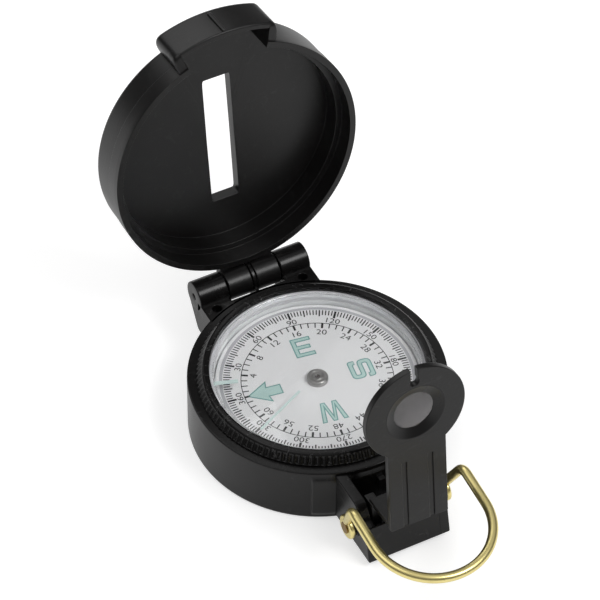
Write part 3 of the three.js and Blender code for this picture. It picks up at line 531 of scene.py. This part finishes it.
def figures(words, bearing, radius, height, stretch):
    """Plain figures filled as triangles, centred, scaled to a height and placed tops outwards."""
    curve = bpy.data.curves.new("figures", "FONT")
    curve.body = words
    curve.resolution_u = 4
    draft = bpy.data.objects.new("figures", curve)
    mesh = draft.to_mesh()
    mesh.calc_loop_triangles()
    points = np.empty(len(mesh.vertices) * 3)
    mesh.vertices.foreach_get("co", points)
    faces = np.empty(len(mesh.loop_triangles) * 3, int)
    mesh.loop_triangles.foreach_get("vertices", faces)
    draft.to_mesh_clear()
    bpy.data.objects.remove(draft)
    bpy.data.curves.remove(curve)
    points = points.reshape(-1, 3)[:, :2]
    points = points - (points.min(axis=0) + points.max(axis=0)) / 2
    points = points * height / np.ptp(points[:, 1]) * (stretch, 1)
    return on_dial(points + (0, radius), bearing), faces.reshape(-1, 3)


def filled(loop):
    """A closed loop filled with triangles."""
    return loop, np.array(tessellate_polygon([[Vector((*p, 0)) for p in loop]]))


def printed(name, parts, material, level):
    """Layer of ink or of painted shade riding on the dial: flat faces turned upwards at a level, thickened
    upwards.
    """
    mesh = bpy.data.meshes.new(name)
    starts = np.cumsum([0] + [len(points) for points, _ in parts])
    flat = np.concatenate([points for points, _ in parts])
    faces = []
    for (points, part), start in zip(parts, starts):
        a, b, c = points[part[:, 0]], points[part[:, 1]], points[part[:, 2]]
        area = (b - a)[:, 0] * (c - a)[:, 1] - (b - a)[:, 1] * (c - a)[:, 0]
        faces += (np.where(area[:, None] > 0, part, part[:, ::-1]) + start).tolist()
    solid = np.column_stack([flat, np.full(len(flat), level)]) * MM
    mesh.from_pydata(solid.tolist(), [], faces)
    mesh.materials.append(material)
    made = bpy.data.objects.new(name, mesh)
    bpy.context.scene.collection.objects.link(made)
    film = made.modifiers.new("film", "SOLIDIFY")
    film.thickness = INK * MM
    film.offset = 1.0
    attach(made, "dial")


degrees = np.arange(0, 360, 2)
mils = np.arange(64) * MIL_STEP
black_marks = [
    ticks(degrees[degrees % 10 != 0], 18.5, DEGREE_RING, 0.25),
    ticks(degrees[(degrees % 10 == 0) & (degrees % 30 != 0)], 18.1, DEGREE_RING, 0.3),
    ticks(np.arange(0, 360, 30), 17.9, DEGREE_RING, 0.47),
    circle(16.04, 16.21),
    ticks(mils[np.arange(64) % 4 != 0], 14.8, MIL_RING, 0.25),
    ticks(mils[::4], 14.7, MIL_RING, 0.47),
]
black_marks += [figures(str(b), b, 17.1, 1.35, 1.2) for b in range(30, 361, 30)]
black_marks += [figures(str(m), m * MIL_STEP, 13.6, 1.42, 1.15) for m in range(4, 64, 4)]
ink_black = moulded("ink_black", shade(10, 10, 12), 0.5, depth=0.05, drift=0.5)
printed("scale_marks", black_marks, ink_black, FIRST_COAT)
# Painted shade: a grey ring just outside the degree ticks stands for the shade falling round the card's edge
# by the wall.
painted_edge_shade = moulded("painted_edge_shade", shade(172, 172, 176), 0.5, depth=0.05, drift=0.06)
printed("dial_edge_shade", [circle(20.05, 20.75)], painted_edge_shade, FIRST_COAT)

arrow = [(0, 15.6), (-3.0, 10.6), (-1.35, 10.95), (-1.35, 7.9), (1.35, 7.9), (1.35, 10.95), (3.0, 10.6)]
east = [
    (-2.2, -2.7), (2.2, -2.7), (2.2, -1.6), (-1.05, -1.6), (-1.05, -0.55), (1.7, -0.55),
    (1.7, 0.55), (-1.05, 0.55), (-1.05, 1.6), (2.2, 1.6), (2.2, 2.7), (-2.2, 2.7),
]
south = fillet(
    [
        (2.6, 1.0), (2.6, 2.6), (-2.6, 2.6), (-2.6, -0.57), (1.45, -0.57), (1.45, -1.45),
        (-1.45, -1.45), (-1.45, -1.0), (-2.6, -1.0), (-2.6, -2.6), (2.6, -2.6), (2.6, 0.57),
        (-1.45, 0.57), (-1.45, 1.45), (1.45, 1.45), (1.45, 1.0),
    ],
    [0.02, 1.2, 1.2, 1.2, 0.3, 0.3, 0.3, 0.02, 0.02, 1.2, 1.2, 1.2, 0.3, 0.3, 0.3, 0.02],
)
west = [
    (-2.9, 2.75), (-1.8, 2.75), (-1.2, -0.9), (-0.5, 2.75), (0.5, 2.75), (1.2, -0.9), (1.8, 2.75),
    (2.9, 2.75), (1.8, -2.75), (0.75, -2.75), (0.0, 0.9), (-0.75, -2.75), (-1.8, -2.75),
]
signs = [(arrow, 0, 0.0), (east, 90, 9.7), (south, 180, 9.8), (west, 270, 9.3)]
signs = [(wound(loop, 1), bearing, radius) for loop, bearing, radius in signs]
outlines = [filled(on_dial(loop + (0, radius), bearing)) for loop, bearing, radius in signs]
fills = [filled(on_dial(inset(loop, SIGN_EDGE) + (0, radius), bearing)) for loop, bearing, radius in signs]
ink_teal = moulded("ink_teal", shade(108, 154, 149), 0.5, depth=0.05, drift=0.3)
ink_pale = moulded("ink_pale_teal", shade(176, 202, 198), 0.5, depth=0.05, drift=0.3)
printed("sign_outlines", outlines, ink_teal, FIRST_COAT)
printed("sign_fills", fills, ink_pale, SECOND_COAT)

# Bezel: a black plastic ring with a knurled slope, which snaps under the case's lip and turns.
# The ring is a profile carried round Z, and the knurl moves the slope in and out in even waves.
TEETH = 120
KNURL = 0.35
SLOPE_FROM = 24.3
SLOPE_LEVELS = (14.15, 16.05)
VALLEY_HALF = 0.38
VALLEY_FLOOR = 0.15
bezel_corners = [
    (22.83, 13.3), (22.83, 16.4), (24.0, 16.4), (24.4, 16.0), (25.6, 14.2), (24.8, 14.2), (24.8, 12.9),
    (25.5, 12.9), (25.5, 12.3), (23.3, 12.3), (23.3, 12.9), (22.0, 12.9), (22.0, 13.3),
]
bezel_edges = [0.05, 0.12, 0.2, 0.1, 0.15, 0.05, 0.05, 0.1, 0.1, 0.05, 0.05, 0.05, 0.05]


def knurled():
    """Bezel profile turned round Z, where the slope dips by the knurl depth between the teeth."""
    outline = refine(fillet(bezel_corners, bezel_edges, 4), 0.35)
    radius, height = outline[:, 0], outline[:, 1]
    angle = np.linspace(0, 2 * np.pi, TEETH * 8 + 1)[:-1][:, None]
    low, high = SLOPE_LEVELS
    on_slope = (radius > SLOPE_FROM) * ease((high - height) / 0.25) * ease((height - low) / 0.15)
    off_valley = np.abs(((angle * TEETH / (2 * np.pi)) % 1.0) - 0.5)
    tooth = ease(off_valley / VALLEY_HALF - VALLEY_FLOOR)
    return carried(radius - KNURL * on_slope * (1 - tooth), height, angle)


bezel_black = moulded("bezel_black", shade(12, 11, 11), 0.24, GRAIN, 0.25, specular=0.35, wear=0.5)
assemble("bezel", knurled(), bezel_black, "bezel", ["bezel_ring"])

# Crystal, its seal and index lines: a clear plastic window in a pale ring, and two luminous strips under it.
# Window and seal are turned from one profile each. The strips keep their CAD shapes, with a pale paint.
seal_outline = fillet(
    [
        (21.88, 12.8), (21.99, 12.8), (21.99, 13.32), (22.81, 13.32),
        (22.81, 15.3), (22.62, 15.3), (22.62, 13.7), (21.88, 13.7),
    ],
    [0.02, 0.02, 0.02, 0.02, 0.02, 0.02, 0.05, 0.1],
)
seal_white = moulded("seal_white", shade(200, 200, 203), 0.35, depth=0.05, drift=0.06)
assemble("seal", turned(seal_outline), seal_white, "bezel", ["crystal_gasket"])
crystal_outline = fillet(
    [(0, 13.72), (22.6, 13.72), (22.6, 15.1), (22.1, 15.2), (21.9, 15.5), (0, 15.5)],
    [0, 0.1, 0.1, 0.1, 0.15, 0],
)


def clear(name, tint, roughness, ior):
    """Clear plastic: refracting for the eye, and plain see-through for shadows."""
    made, tree, shader = surface(name, {"IOR": ior, "Transmission Weight": 1.0})
    place = node(tree, "ShaderNodeTexCoord").outputs["Object"]
    haze = node(tree, "ShaderNodeTexNoise", {"Vector": place, "Scale": 400.0, "Detail": 4.0})
    smear = node(
        tree, "ShaderNodeMapRange",
        {"Value": haze.outputs["Fac"], "To Min": roughness * 0.5, "To Max": roughness * 1.5})
    lighter = tuple(min(1.0, 1.1 * part) for part in tint)
    tree.links.new(smear.outputs[0], shader.inputs["Roughness"])
    tree.links.new(mixed(tree, haze.outputs["Fac"], tint, lighter), shader.inputs["Base Color"])
    rays = node(tree, "ShaderNodeLightPath")
    open_way = node(tree, "ShaderNodeBsdfTransparent", {"Color": (0.96, 0.97, 0.97, 1.0)})
    both = node(tree, "ShaderNodeMixShader")
    tree.links.new(rays.outputs["Is Shadow Ray"], both.inputs[0])
    tree.links.new(shader.outputs[0], both.inputs[1])
    tree.links.new(open_way.outputs[0], both.inputs[2])
    tree.links.new(both.outputs[0], tree.nodes["Material Output"].inputs["Surface"])
    return made


window_clear = clear("window_clear", shade(250, 251, 251), 0.01, 1.45)
assemble("window", turned(crystal_outline), window_clear, "bezel", ["crystal"])
glow_paint = moulded("glow_paint", shade(198, 215, 212), 0.5, depth=0.1, drift=0.1)
refinish(glow_paint, "index_line_long", "index_line_short")

# Cover: a shallow black lid with an inner ledge, a sighting slot, and a hood over the folded eyepiece.
# One profile is carried round the lid's axis, and changes smoothly into the hood. Two knuckles join it.
HOOD_END = math.radians(23.4)
HOOD_ROUND = math.radians(5.0)
POCKET = 30.75
POCKET_HALF = math.radians(19.0)
POCKET_SIDE = math.radians(0.1)
SLOT_HALF = (3.2, 16.05)
SLOT_SQUARE = 28
RIM_RISE = 1.2
RIM_LOW = 14.2
COVER_RADIUS = 28.0
COVER_BORE = 26.6
PLATE_BORE = 25.2
COVER_TOP = 25.6
COVER_UNDER = 22.9
LEDGE_LEVEL = 18.5
HOOD_LOW = 16.2
LEDGE_REACH = 1.3
LEDGE_FADE = math.radians(4.0)
OPEN_ANGLE = math.radians(97.5)


def opened(parts):
    """Parts drawn on the closed cover, swung up about the hinge line."""
    cosine, sine = math.cos(OPEN_ANGLE), math.sin(OPEN_ANGLE)
    turn = np.array([(1, 0, 0), (0, cosine, sine), (0, -sine, cosine)])
    centre = np.array([0, HINGE_Y, HINGE_Z])
    return [((points - centre) @ turn.T + centre, faces) for points, faces in parts]


def lid():
    """Profile of radius and height carried round Z, each corner blended from wall to hood by angle.

    The hood's ends are rounded: its share is the cube root of one less the cube of the way to its end.
    """
    slot_corner = math.atan2(SLOT_HALF[1], SLOT_HALF[0])
    edge_spots = -np.pi / 2 + np.array([-1, 1])[:, None] * np.concatenate([
        POCKET_HALF + np.radians(np.linspace(-0.1, 0.1, 5)),
        HOOD_END - HOOD_ROUND * np.linspace(0, 1, 24) ** 2,
    ])
    slot_spots = np.array([0, np.pi])[:, None] + np.array([-1, 1])[:, None, None] * (
        slot_corner + np.radians(np.linspace(-2, 2, 9)))
    spots = np.concatenate([ROUND, edge_spots.ravel() % (2 * np.pi), slot_spots.ravel() % (2 * np.pi)])
    angle = np.unique(spots)
    off_front = np.abs((angle + np.pi / 2 + np.pi) % (2 * np.pi) - np.pi)
    bend = np.clip((off_front - HOOD_END + HOOD_ROUND) / HOOD_ROUND, 0, 1)
    outer = (1 - bend ** 3) ** (1 / 3)
    inner = ease((POCKET_HALF + POCKET_SIDE / 2 - off_front) / POCKET_SIDE)
    across = (np.abs(np.cos(angle)) / SLOT_HALF[0]) ** SLOT_SQUARE
    along = (np.abs(np.sin(angle)) / SLOT_HALF[1]) ** SLOT_SQUARE
    slot = (across + along) ** (-1 / SLOT_SQUARE)
    rim = RIM_LOW + RIM_RISE * (1 - np.sin(angle)) / 2
    ledge = PLATE_BORE + LEDGE_REACH * ease((POCKET_HALF + LEDGE_FADE - off_front) / LEDGE_FADE)
    flat = np.zeros_like(angle)

    def corner(wall_radius, wall_height, hood_radius, hood_height, blend):
        """One corner at every angle, moved from its place on the wall to its place on the hood."""
        radius = wall_radius + blend * (hood_radius - wall_radius)
        height = wall_height + blend * (hood_height - wall_height)
        return np.column_stack([radius, height])

    corners = np.stack([
        corner(COVER_RADIUS, rim, 30.85, HOOD_LOW, inner),
        corner(COVER_RADIUS, 15.8, 30.9, HOOD_LOW, inner),
        corner(COVER_RADIUS, HOOD_LOW, 32.0, HOOD_LOW, outer),
        corner(27.9, 19.1, 31.907, 19.1, outer),
        corner(27.76, 19.25, 31.902, 19.25, outer),
        corner(27.65, COVER_TOP, 31.7, COVER_TOP, outer),
        np.column_stack([slot, flat + COVER_TOP]),
        np.column_stack([slot, flat + COVER_UNDER]),
        corner(ledge, COVER_UNDER, POCKET, COVER_UNDER, inner),
        corner(ledge, LEDGE_LEVEL, POCKET, LEDGE_LEVEL, inner),
        corner(COVER_BORE, LEDGE_LEVEL, POCKET, 18.45, inner),
        corner(COVER_BORE, rim, POCKET, HOOD_LOW, inner),
    ], axis=1)
    edges = [0.08, 0.02, 1.0, 0.05, 0.05, 1.0, 0.25, 0.25, 0.12, 0.12, 0.1, 0.08]
    outline = fillet(corners, edges)
    return carried(outline[..., 0], outline[..., 1], angle[:, None])


def lid_fixings():
    """Ridge on the hood, and a web and a barrel for each cover knuckle."""
    ridge = fillet([(-31.2, 16.5), (-32.4, 16.5), (-32.3, 23.6), (-31.2, 24.6)], [0.1, 0.2, 0.3, 0.1])
    web = fillet([(26.9, 15.1), (31.8, 14.6), (31.8, 17.35), (26.9, 17.4)], 0.1)
    knuckle = sideways(slab([web], 0.6, 6.1, 0.15)) + barrel(0.6, 6.1, edge=0.2)
    return sideways(slab([ridge], -0.4, 0.4, 0.12)) + mirrored(knuckle)


cover_black = moulded("cover_black", shade(16, 15, 15), 0.33, GRAIN, 0.4, specular=0.42, wear=0.08)
assemble("cover", opened(lid() + lid_fixings()), cover_black, "cover", ["cover"])

# Eyepiece: a black plastic bracket with a round head, which folds on the axle between the cheeks.
# Its plate is a filled outline with a lens seat, two grooves and a sighting notch. A foot and ears carry it.
EYE_TILT = math.radians(7.0)
LEG_HALF = 6.6
LEG_FRONT = 10.6
LEG_BACK = 9.1
FOOT_LOW = 4.9
TOE = 0.2
FOOT_TOP = 6.1
HEAD_RADIUS = 11.2
HEAD_RISE = 34.8
SEAT = 6.6
GROOVE = 0.35
NOTCH_HALF = 0.75
KEYHOLE_RISE = 42.9
EAR_RADIUS = 2.4


def upright(parts):
    """Parts drawn as x, distance ahead of the axle and height over it, put in their tilted place."""
    cosine, sine = math.cos(EYE_TILT), math.sin(EYE_TILT)
    turn = np.array([(1, 0, 0), (0, -cosine, sine), (0, sine, cosine)])
    return [(points @ turn.T + (0, AXLE_Y, AXLE_Z), faces) for points, faces in parts]


def on_head(parts):
    """Parts turned about Z laid along the sight line through the head."""
    return [(points[:, [0, 2, 1]] + (0, 0, HEAD_RISE), faces) for points, faces in parts]


def bracket():
    """Filled plate outline with round head, grooves and notch, a turned seat, plates for foot and ears."""
    meet = math.asin(LEG_HALF / HEAD_RADIUS)
    notch = NOTCH_HALF / HEAD_RADIUS
    right = np.linspace(-np.pi / 2 + meet, np.pi / 2 - notch, 40)
    arc = spokes(right) * HEAD_RADIUS + (0, HEAD_RISE)
    gap = math.asin(NOTCH_HALF)
    hole = np.linspace(np.pi / 2 - gap, -np.pi * 1.5 + gap, 21)
    keyhole = spokes(hole) + (0, KEYHOLE_RISE)
    grooves = [(2.45, FOOT_LOW), (2.45, 22.5), (3.55, 22.5), (3.55, FOOT_LOW)]
    toe = np.array([(LEG_HALF - TOE, FOOT_LOW), (LEG_HALF, FOOT_LOW + TOE)])
    mirror = np.array([-1, 1])
    outline = np.vstack([
        grooves, toe, arc, keyhole, arc[::-1] * mirror, toe[::-1] * mirror, np.array(grooves)[::-1] * mirror,
    ])
    turn = np.linspace(0, 2 * np.pi, 97)[:-1]
    opening = spokes(turn) * SEAT + (0, HEAD_RISE)
    backing = [(-4.2, FOOT_LOW + 0.1), (4.2, FOOT_LOW + 0.1), (4.2, 23.5), (-4.2, 23.5)]
    plate = slab([outline, opening], LEG_BACK, LEG_FRONT, 0.2)
    plate += slab([backing], LEG_BACK + 0.02, LEG_FRONT - GROOVE, 0.05)
    plate = [(points[:, [0, 2, 1]], faces) for points, faces in plate]
    shelf = fillet([(4.5, LEG_BACK), (7.2, LEG_BACK), (7.2, 9.3), (4.5, 9.3)], [0.05, 0.02, 0.02, 0.02])
    plate += on_head(turned(shelf, ROUND[::2]))
    tread_half = LEG_HALF - TOE
    tread = [(-tread_half, 0.75), (tread_half, 0.75), (tread_half, 10.0), (-tread_half, 10.0)]
    foot = slab([tread], FOOT_LOW, FOOT_TOP, 0.2)
    round_end = np.linspace(np.pi, 2 * np.pi, 24)
    ear = np.vstack([spokes(round_end) * EAR_RADIUS, [(EAR_RADIUS, 5.5), (-1.2, 5.5)]])
    return plate + foot + mirrored(sideways(slab([ear], 4.4, LEG_HALF, 0.2)))


eyepiece_black = moulded("eyepiece_black", shade(16, 15, 15), 0.34, 1500.0, 0.6, specular=0.4, wear=0.1)
assemble("eyepiece", upright(bracket()), eyepiece_black, "eyepiece", ["eyepiece_bracket"])

# Lens and its retainer: a small clear magnifier, held in the head by a dished ring of glossy black plastic.
# Both are turned about the sight line.
LENS_RADIUS = 5.3
LENS_FRONT = 9.55
LENS_BACK = 9.3
FRONT_BULGE = 0.3
BACK_BULGE = 0.2
retainer_outline = fillet(
    [(4.4, 9.7), (6.5, 10.6), (6.8, 10.6), (6.8, 10.3), (5.6, 9.9), (5.4, 9.56), (4.4, 9.56)],
    [0.04, 0.15, 0.05, 0.02, 0.02, 0.02, 0.04],
)
retainer_black = moulded("retainer_black", shade(14, 13, 13), 0.28, specular=0.35, depth=0.05)
assemble(
    "retainer", upright(on_head(turned(retainer_outline, ROUND[::2]))),
    retainer_black, "eyepiece", ["lens_retainer"])
span = np.linspace(0, 1, 16)
lens_front = np.column_stack([LENS_RADIUS * span, LENS_FRONT + FRONT_BULGE * (1 - span ** 2)])
lens_back = np.column_stack([LENS_RADIUS * span, LENS_BACK - BACK_BULGE * (1 - span ** 2)])[::-1]
lens_clear = clear("lens_clear", shade(158, 154, 155), 0.22, 1.49)
assemble(
    "lens", upright(on_head(turned(np.vstack([lens_front, lens_back]), ROUND[::3]))),
    lens_clear, "eyepiece", ["magnifier_lens"])

# Axle: a tarnished pin through both cheeks, with a small domed head outside each eye of the thumb ring.
# It is turned about its own length.
axle_outline = fillet(
    [
        (0, -12.1), (1.3, -12.1), (1.3, -11.82), (0.9, -11.82),
        (0.9, 11.82), (1.3, 11.82), (1.3, 12.1), (0, 12.1),
    ],
    [0, 0.2, 0.1, 0.05, 0.05, 0.1, 0.2, 0],
)
axle_metal = metal("axle_metal", shade(150, 122, 72), shade(84, 60, 32), 0.6, 0.35)
axle = crosswise(turned(axle_outline, ROUND[::6]), AXLE_Y, AXLE_Z)
assemble("axle", axle, axle_metal, "base", ["axle_pin"])

# Thumb ring: bent brass wire with a flattened eye at each end, which swings on the axle.
# A circle is carried along the bent path, and each eye is a turned washer.
WIRE = 1.05
WIRE_SIDES = 20
OFF_PATH = (0, 0.6, 0.8)
ARM = 12.8
ELBOW = (-4.4, 10.4)
ARM_END = -13.9
FALL = 0.113
BEND = 2.0


def ring_path():
    """Straight legs, parabola bends, sloping arms and a half-circle bow, as one line of points."""
    def height(y):
        """Height over the axle of the sloping arms and bow."""
        return ELBOW[1] - FALL * (ELBOW[0] - y)

    root = np.array([11.2, 0, 1.8])
    elbow = np.array([ARM, *ELBOW])
    end = np.array([ARM, ARM_END, height(ARM_END)])
    leg = (root - elbow) / np.linalg.norm(root - elbow) * BEND
    arm = (end - elbow) / np.linalg.norm(end - elbow) * BEND
    t = np.linspace(0, 1, 14)[:, None]
    start = root + np.linspace(0, 1, 6)[:-1, None] * (elbow + leg - root)
    bend = (1 - t) ** 2 * (elbow + leg) + 2 * t * (1 - t) * elbow + t * t * (elbow + arm)
    angle = np.linspace(0, np.pi, 60)
    bow_y = ARM_END - ARM * np.sin(angle)
    bow = np.column_stack([ARM * np.cos(angle), bow_y, height(bow_y)])
    half = np.vstack([start, bend])
    return np.vstack([half, bow, half[::-1] * (-1, 1, 1)])


def wire(path, radius, steps):
    """Circle carried along a path, kept square to it by the path's direction, with closed ends."""
    along = np.gradient(path, axis=0)
    along /= np.linalg.norm(along, axis=1, keepdims=True)
    side = np.cross(along, OFF_PATH)
    side /= np.linalg.norm(side, axis=1, keepdims=True)
    other = np.cross(side, along)
    turn = np.linspace(0, 2 * np.pi, steps + 1)[:-1, None]
    rings = path[:, None] + radius * (side[:, None] * np.cos(turn) + other[:, None] * np.sin(turn))
    ends = [np.repeat(path[None, :1], steps, axis=1), rings, np.repeat(path[None, -1:], steps, axis=1)]
    return skin(np.concatenate(ends), round_u=False)


eye_outline = fillet([(1.0, 10.6), (2.7, 10.6), (2.7, 11.8), (1.0, 11.8)], [0.1, 0.45, 0.45, 0.1])
eyes = mirrored(crosswise(turned(eye_outline, ROUND[::4]), AXLE_Y, AXLE_Z))
hoop = wire(ring_path() + (0, AXLE_Y, AXLE_Z), WIRE, WIRE_SIDES)
ring_brass = metal("ring_brass", shade(250, 234, 162), shade(196, 166, 92), 0.15, 0.31)
assemble("thumb_ring", hoop + eyes, ring_brass, "ring", ["thumb_ring"])

# Studio: a pale floor that stays white round the object's soft shadow, a white surround, and three
# soft lamps. The camera stands where the photograph was taken from.
FLOOR_LEVEL = -0.00005
FLOOR_HALF = 3.0
FLOOR_GLOW = 2.2
FLOOR_SHARE = 0.25
WHITE = (1.0, 1.0, 1.0, 1.0)
PAPER = (0.95, 0.95, 0.95, 1.0)
SOFT_LIGHT = 0.5
WALLS = 0.07
CEILING = 0.42
AIM_HEIGHT = 0.02
CAMERA_TURN = -0.488661
CAMERA_RISE = 0.820784
CAMERA_ROLL = 0.011649
CAMERA_ASIDE = -3.6003
CAMERA_ABOVE = 25.1542
CAMERA_AWAY = 802.0946
CAMERA_LENS = 226.0912


def seen_white(tree):
    """Mask of the rays that should meet a plain white surround: straight, mirrored and refracted."""
    rays = node(tree, "ShaderNodeLightPath")
    seen = maths(tree, "MAXIMUM", rays.outputs["Is Camera Ray"], rays.outputs["Is Glossy Ray"])
    return maths(tree, "MAXIMUM", seen, rays.outputs["Is Transmission Ray"])


floor_mesh = bpy.data.meshes.new("floor")
square = np.array([(-1, -1), (1, -1), (1, 1), (-1, 1)]) * FLOOR_HALF
floor_mesh.from_pydata(np.column_stack([square, np.full(4, FLOOR_LEVEL)]).tolist(), [], [(0, 1, 2, 3)])
floor = bpy.data.objects.new("floor", floor_mesh)
bpy.context.scene.collection.objects.link(floor)
paper = bpy.data.materials.new("floor_paper")
paper.use_nodes = True
tree = paper.node_tree
tree.nodes.remove(tree.nodes["Principled BSDF"])
lit = node(tree, "ShaderNodeBsdfDiffuse", {"Color": PAPER})
straight = node(tree, "ShaderNodeLightPath").outputs["Is Camera Ray"]
strength = node(tree, "ShaderNodeMapRange", {"Value": straight, "To Min": 1.0, "To Max": FLOOR_GLOW})
glow = node(tree, "ShaderNodeEmission", {"Color": WHITE, "Strength": strength.outputs[0]})
share = maths(tree, "MULTIPLY", seen_white(tree), FLOOR_SHARE)
blend = node(tree, "ShaderNodeMixShader", {0: share, 1: lit.outputs[0], 2: glow.outputs[0]})
tree.links.new(blend.outputs[0], tree.nodes["Material Output"].inputs["Surface"])
floor_mesh.materials.append(paper)

world = bpy.data.worlds.new("surround")
bpy.context.scene.world = world
world.use_nodes = True
tree = world.node_tree
tree.nodes.clear()
soft = node(tree, "ShaderNodeBackground", {"Color": WHITE, "Strength": SOFT_LIGHT})
level = node(tree, "ShaderNodeSeparateXYZ", {0: node(tree, "ShaderNodeTexCoord").outputs["Generated"]})
sweep = node(
    tree, "ShaderNodeMapRange",
    {"Value": level.outputs["Z"], "From Min": -0.1, "From Max": 0.03, "To Min": 1.0, "To Max": WALLS})
overhead = node(
    tree, "ShaderNodeMapRange",
    {"Value": level.outputs["Z"], "From Min": 0.35, "From Max": 0.75, "To Min": 0.0, "To Max": CEILING})
straight = node(tree, "ShaderNodeLightPath").outputs["Is Camera Ray"]
bright = maths(tree, "MAXIMUM", sweep.outputs[0], overhead.outputs[0])
bright = maths(tree, "MAXIMUM", bright, straight)
white = node(tree, "ShaderNodeBackground", {"Color": WHITE, "Strength": bright})
blend = node(tree, "ShaderNodeMixShader", {0: seen_white(tree), 1: soft.outputs[0], 2: white.outputs[0]})
node(tree, "ShaderNodeOutputWorld", {"Surface": blend.outputs[0]})


def lamp(name, towards, distance, size, power):
    """Square soft lamp at a distance in a direction, facing the middle of the object."""
    data = bpy.data.lights.new(name, "AREA")
    data.shape = "SQUARE"
    data.size = size
    data.energy = power
    made = bpy.data.objects.new(name, data)
    aim = Vector(towards).normalized()
    place = Matrix.Translation(aim * distance + Vector((0, 0, AIM_HEIGHT)))
    made.matrix_world = place @ aim.to_track_quat("Z", "Y").to_matrix().to_4x4()
    bpy.context.scene.collection.objects.link(made)


lamp("key_lamp", (0.32, -0.5, 0.8), distance=1.0, size=0.36, power=3.1)
lamp("top_lamp", (-0.45, 0.05, 0.89), distance=0.8, size=0.5, power=0.7)
lamp("back_lamp", (0.0, 0.75, 0.66), distance=0.8, size=0.5, power=0.9)

turn, rise, roll = CAMERA_TURN, CAMERA_RISE, CAMERA_ROLL
back = Vector((math.sin(turn) * math.cos(rise), -math.cos(turn) * math.cos(rise), math.sin(rise)))
level_right = Vector((math.cos(turn), math.sin(turn), 0.0))
level_above = back.cross(level_right)
right = math.cos(roll) * level_right + math.sin(roll) * level_above
above = math.cos(roll) * level_above - math.sin(roll) * level_right
stand = (right * CAMERA_ASIDE + above * CAMERA_ABOVE + back * CAMERA_AWAY) * MM
optics = bpy.data.cameras.new("camera")
optics.sensor_width = 36.0
optics.lens = CAMERA_LENS
optics.clip_start = 0.01
camera = bpy.data.objects.new("camera", optics)
camera.matrix_world = Matrix((
    (right.x, above.x, back.x, stand.x),
    (right.y, above.y, back.y, stand.y),
    (right.z, above.z, back.z, stand.z),
    (0.0, 0.0, 0.0, 1.0),
))
bpy.context.scene.collection.objects.link(camera)
bpy.context.scene.camera = camera
bpy.context.scene.view_settings.view_transform = "Standard"
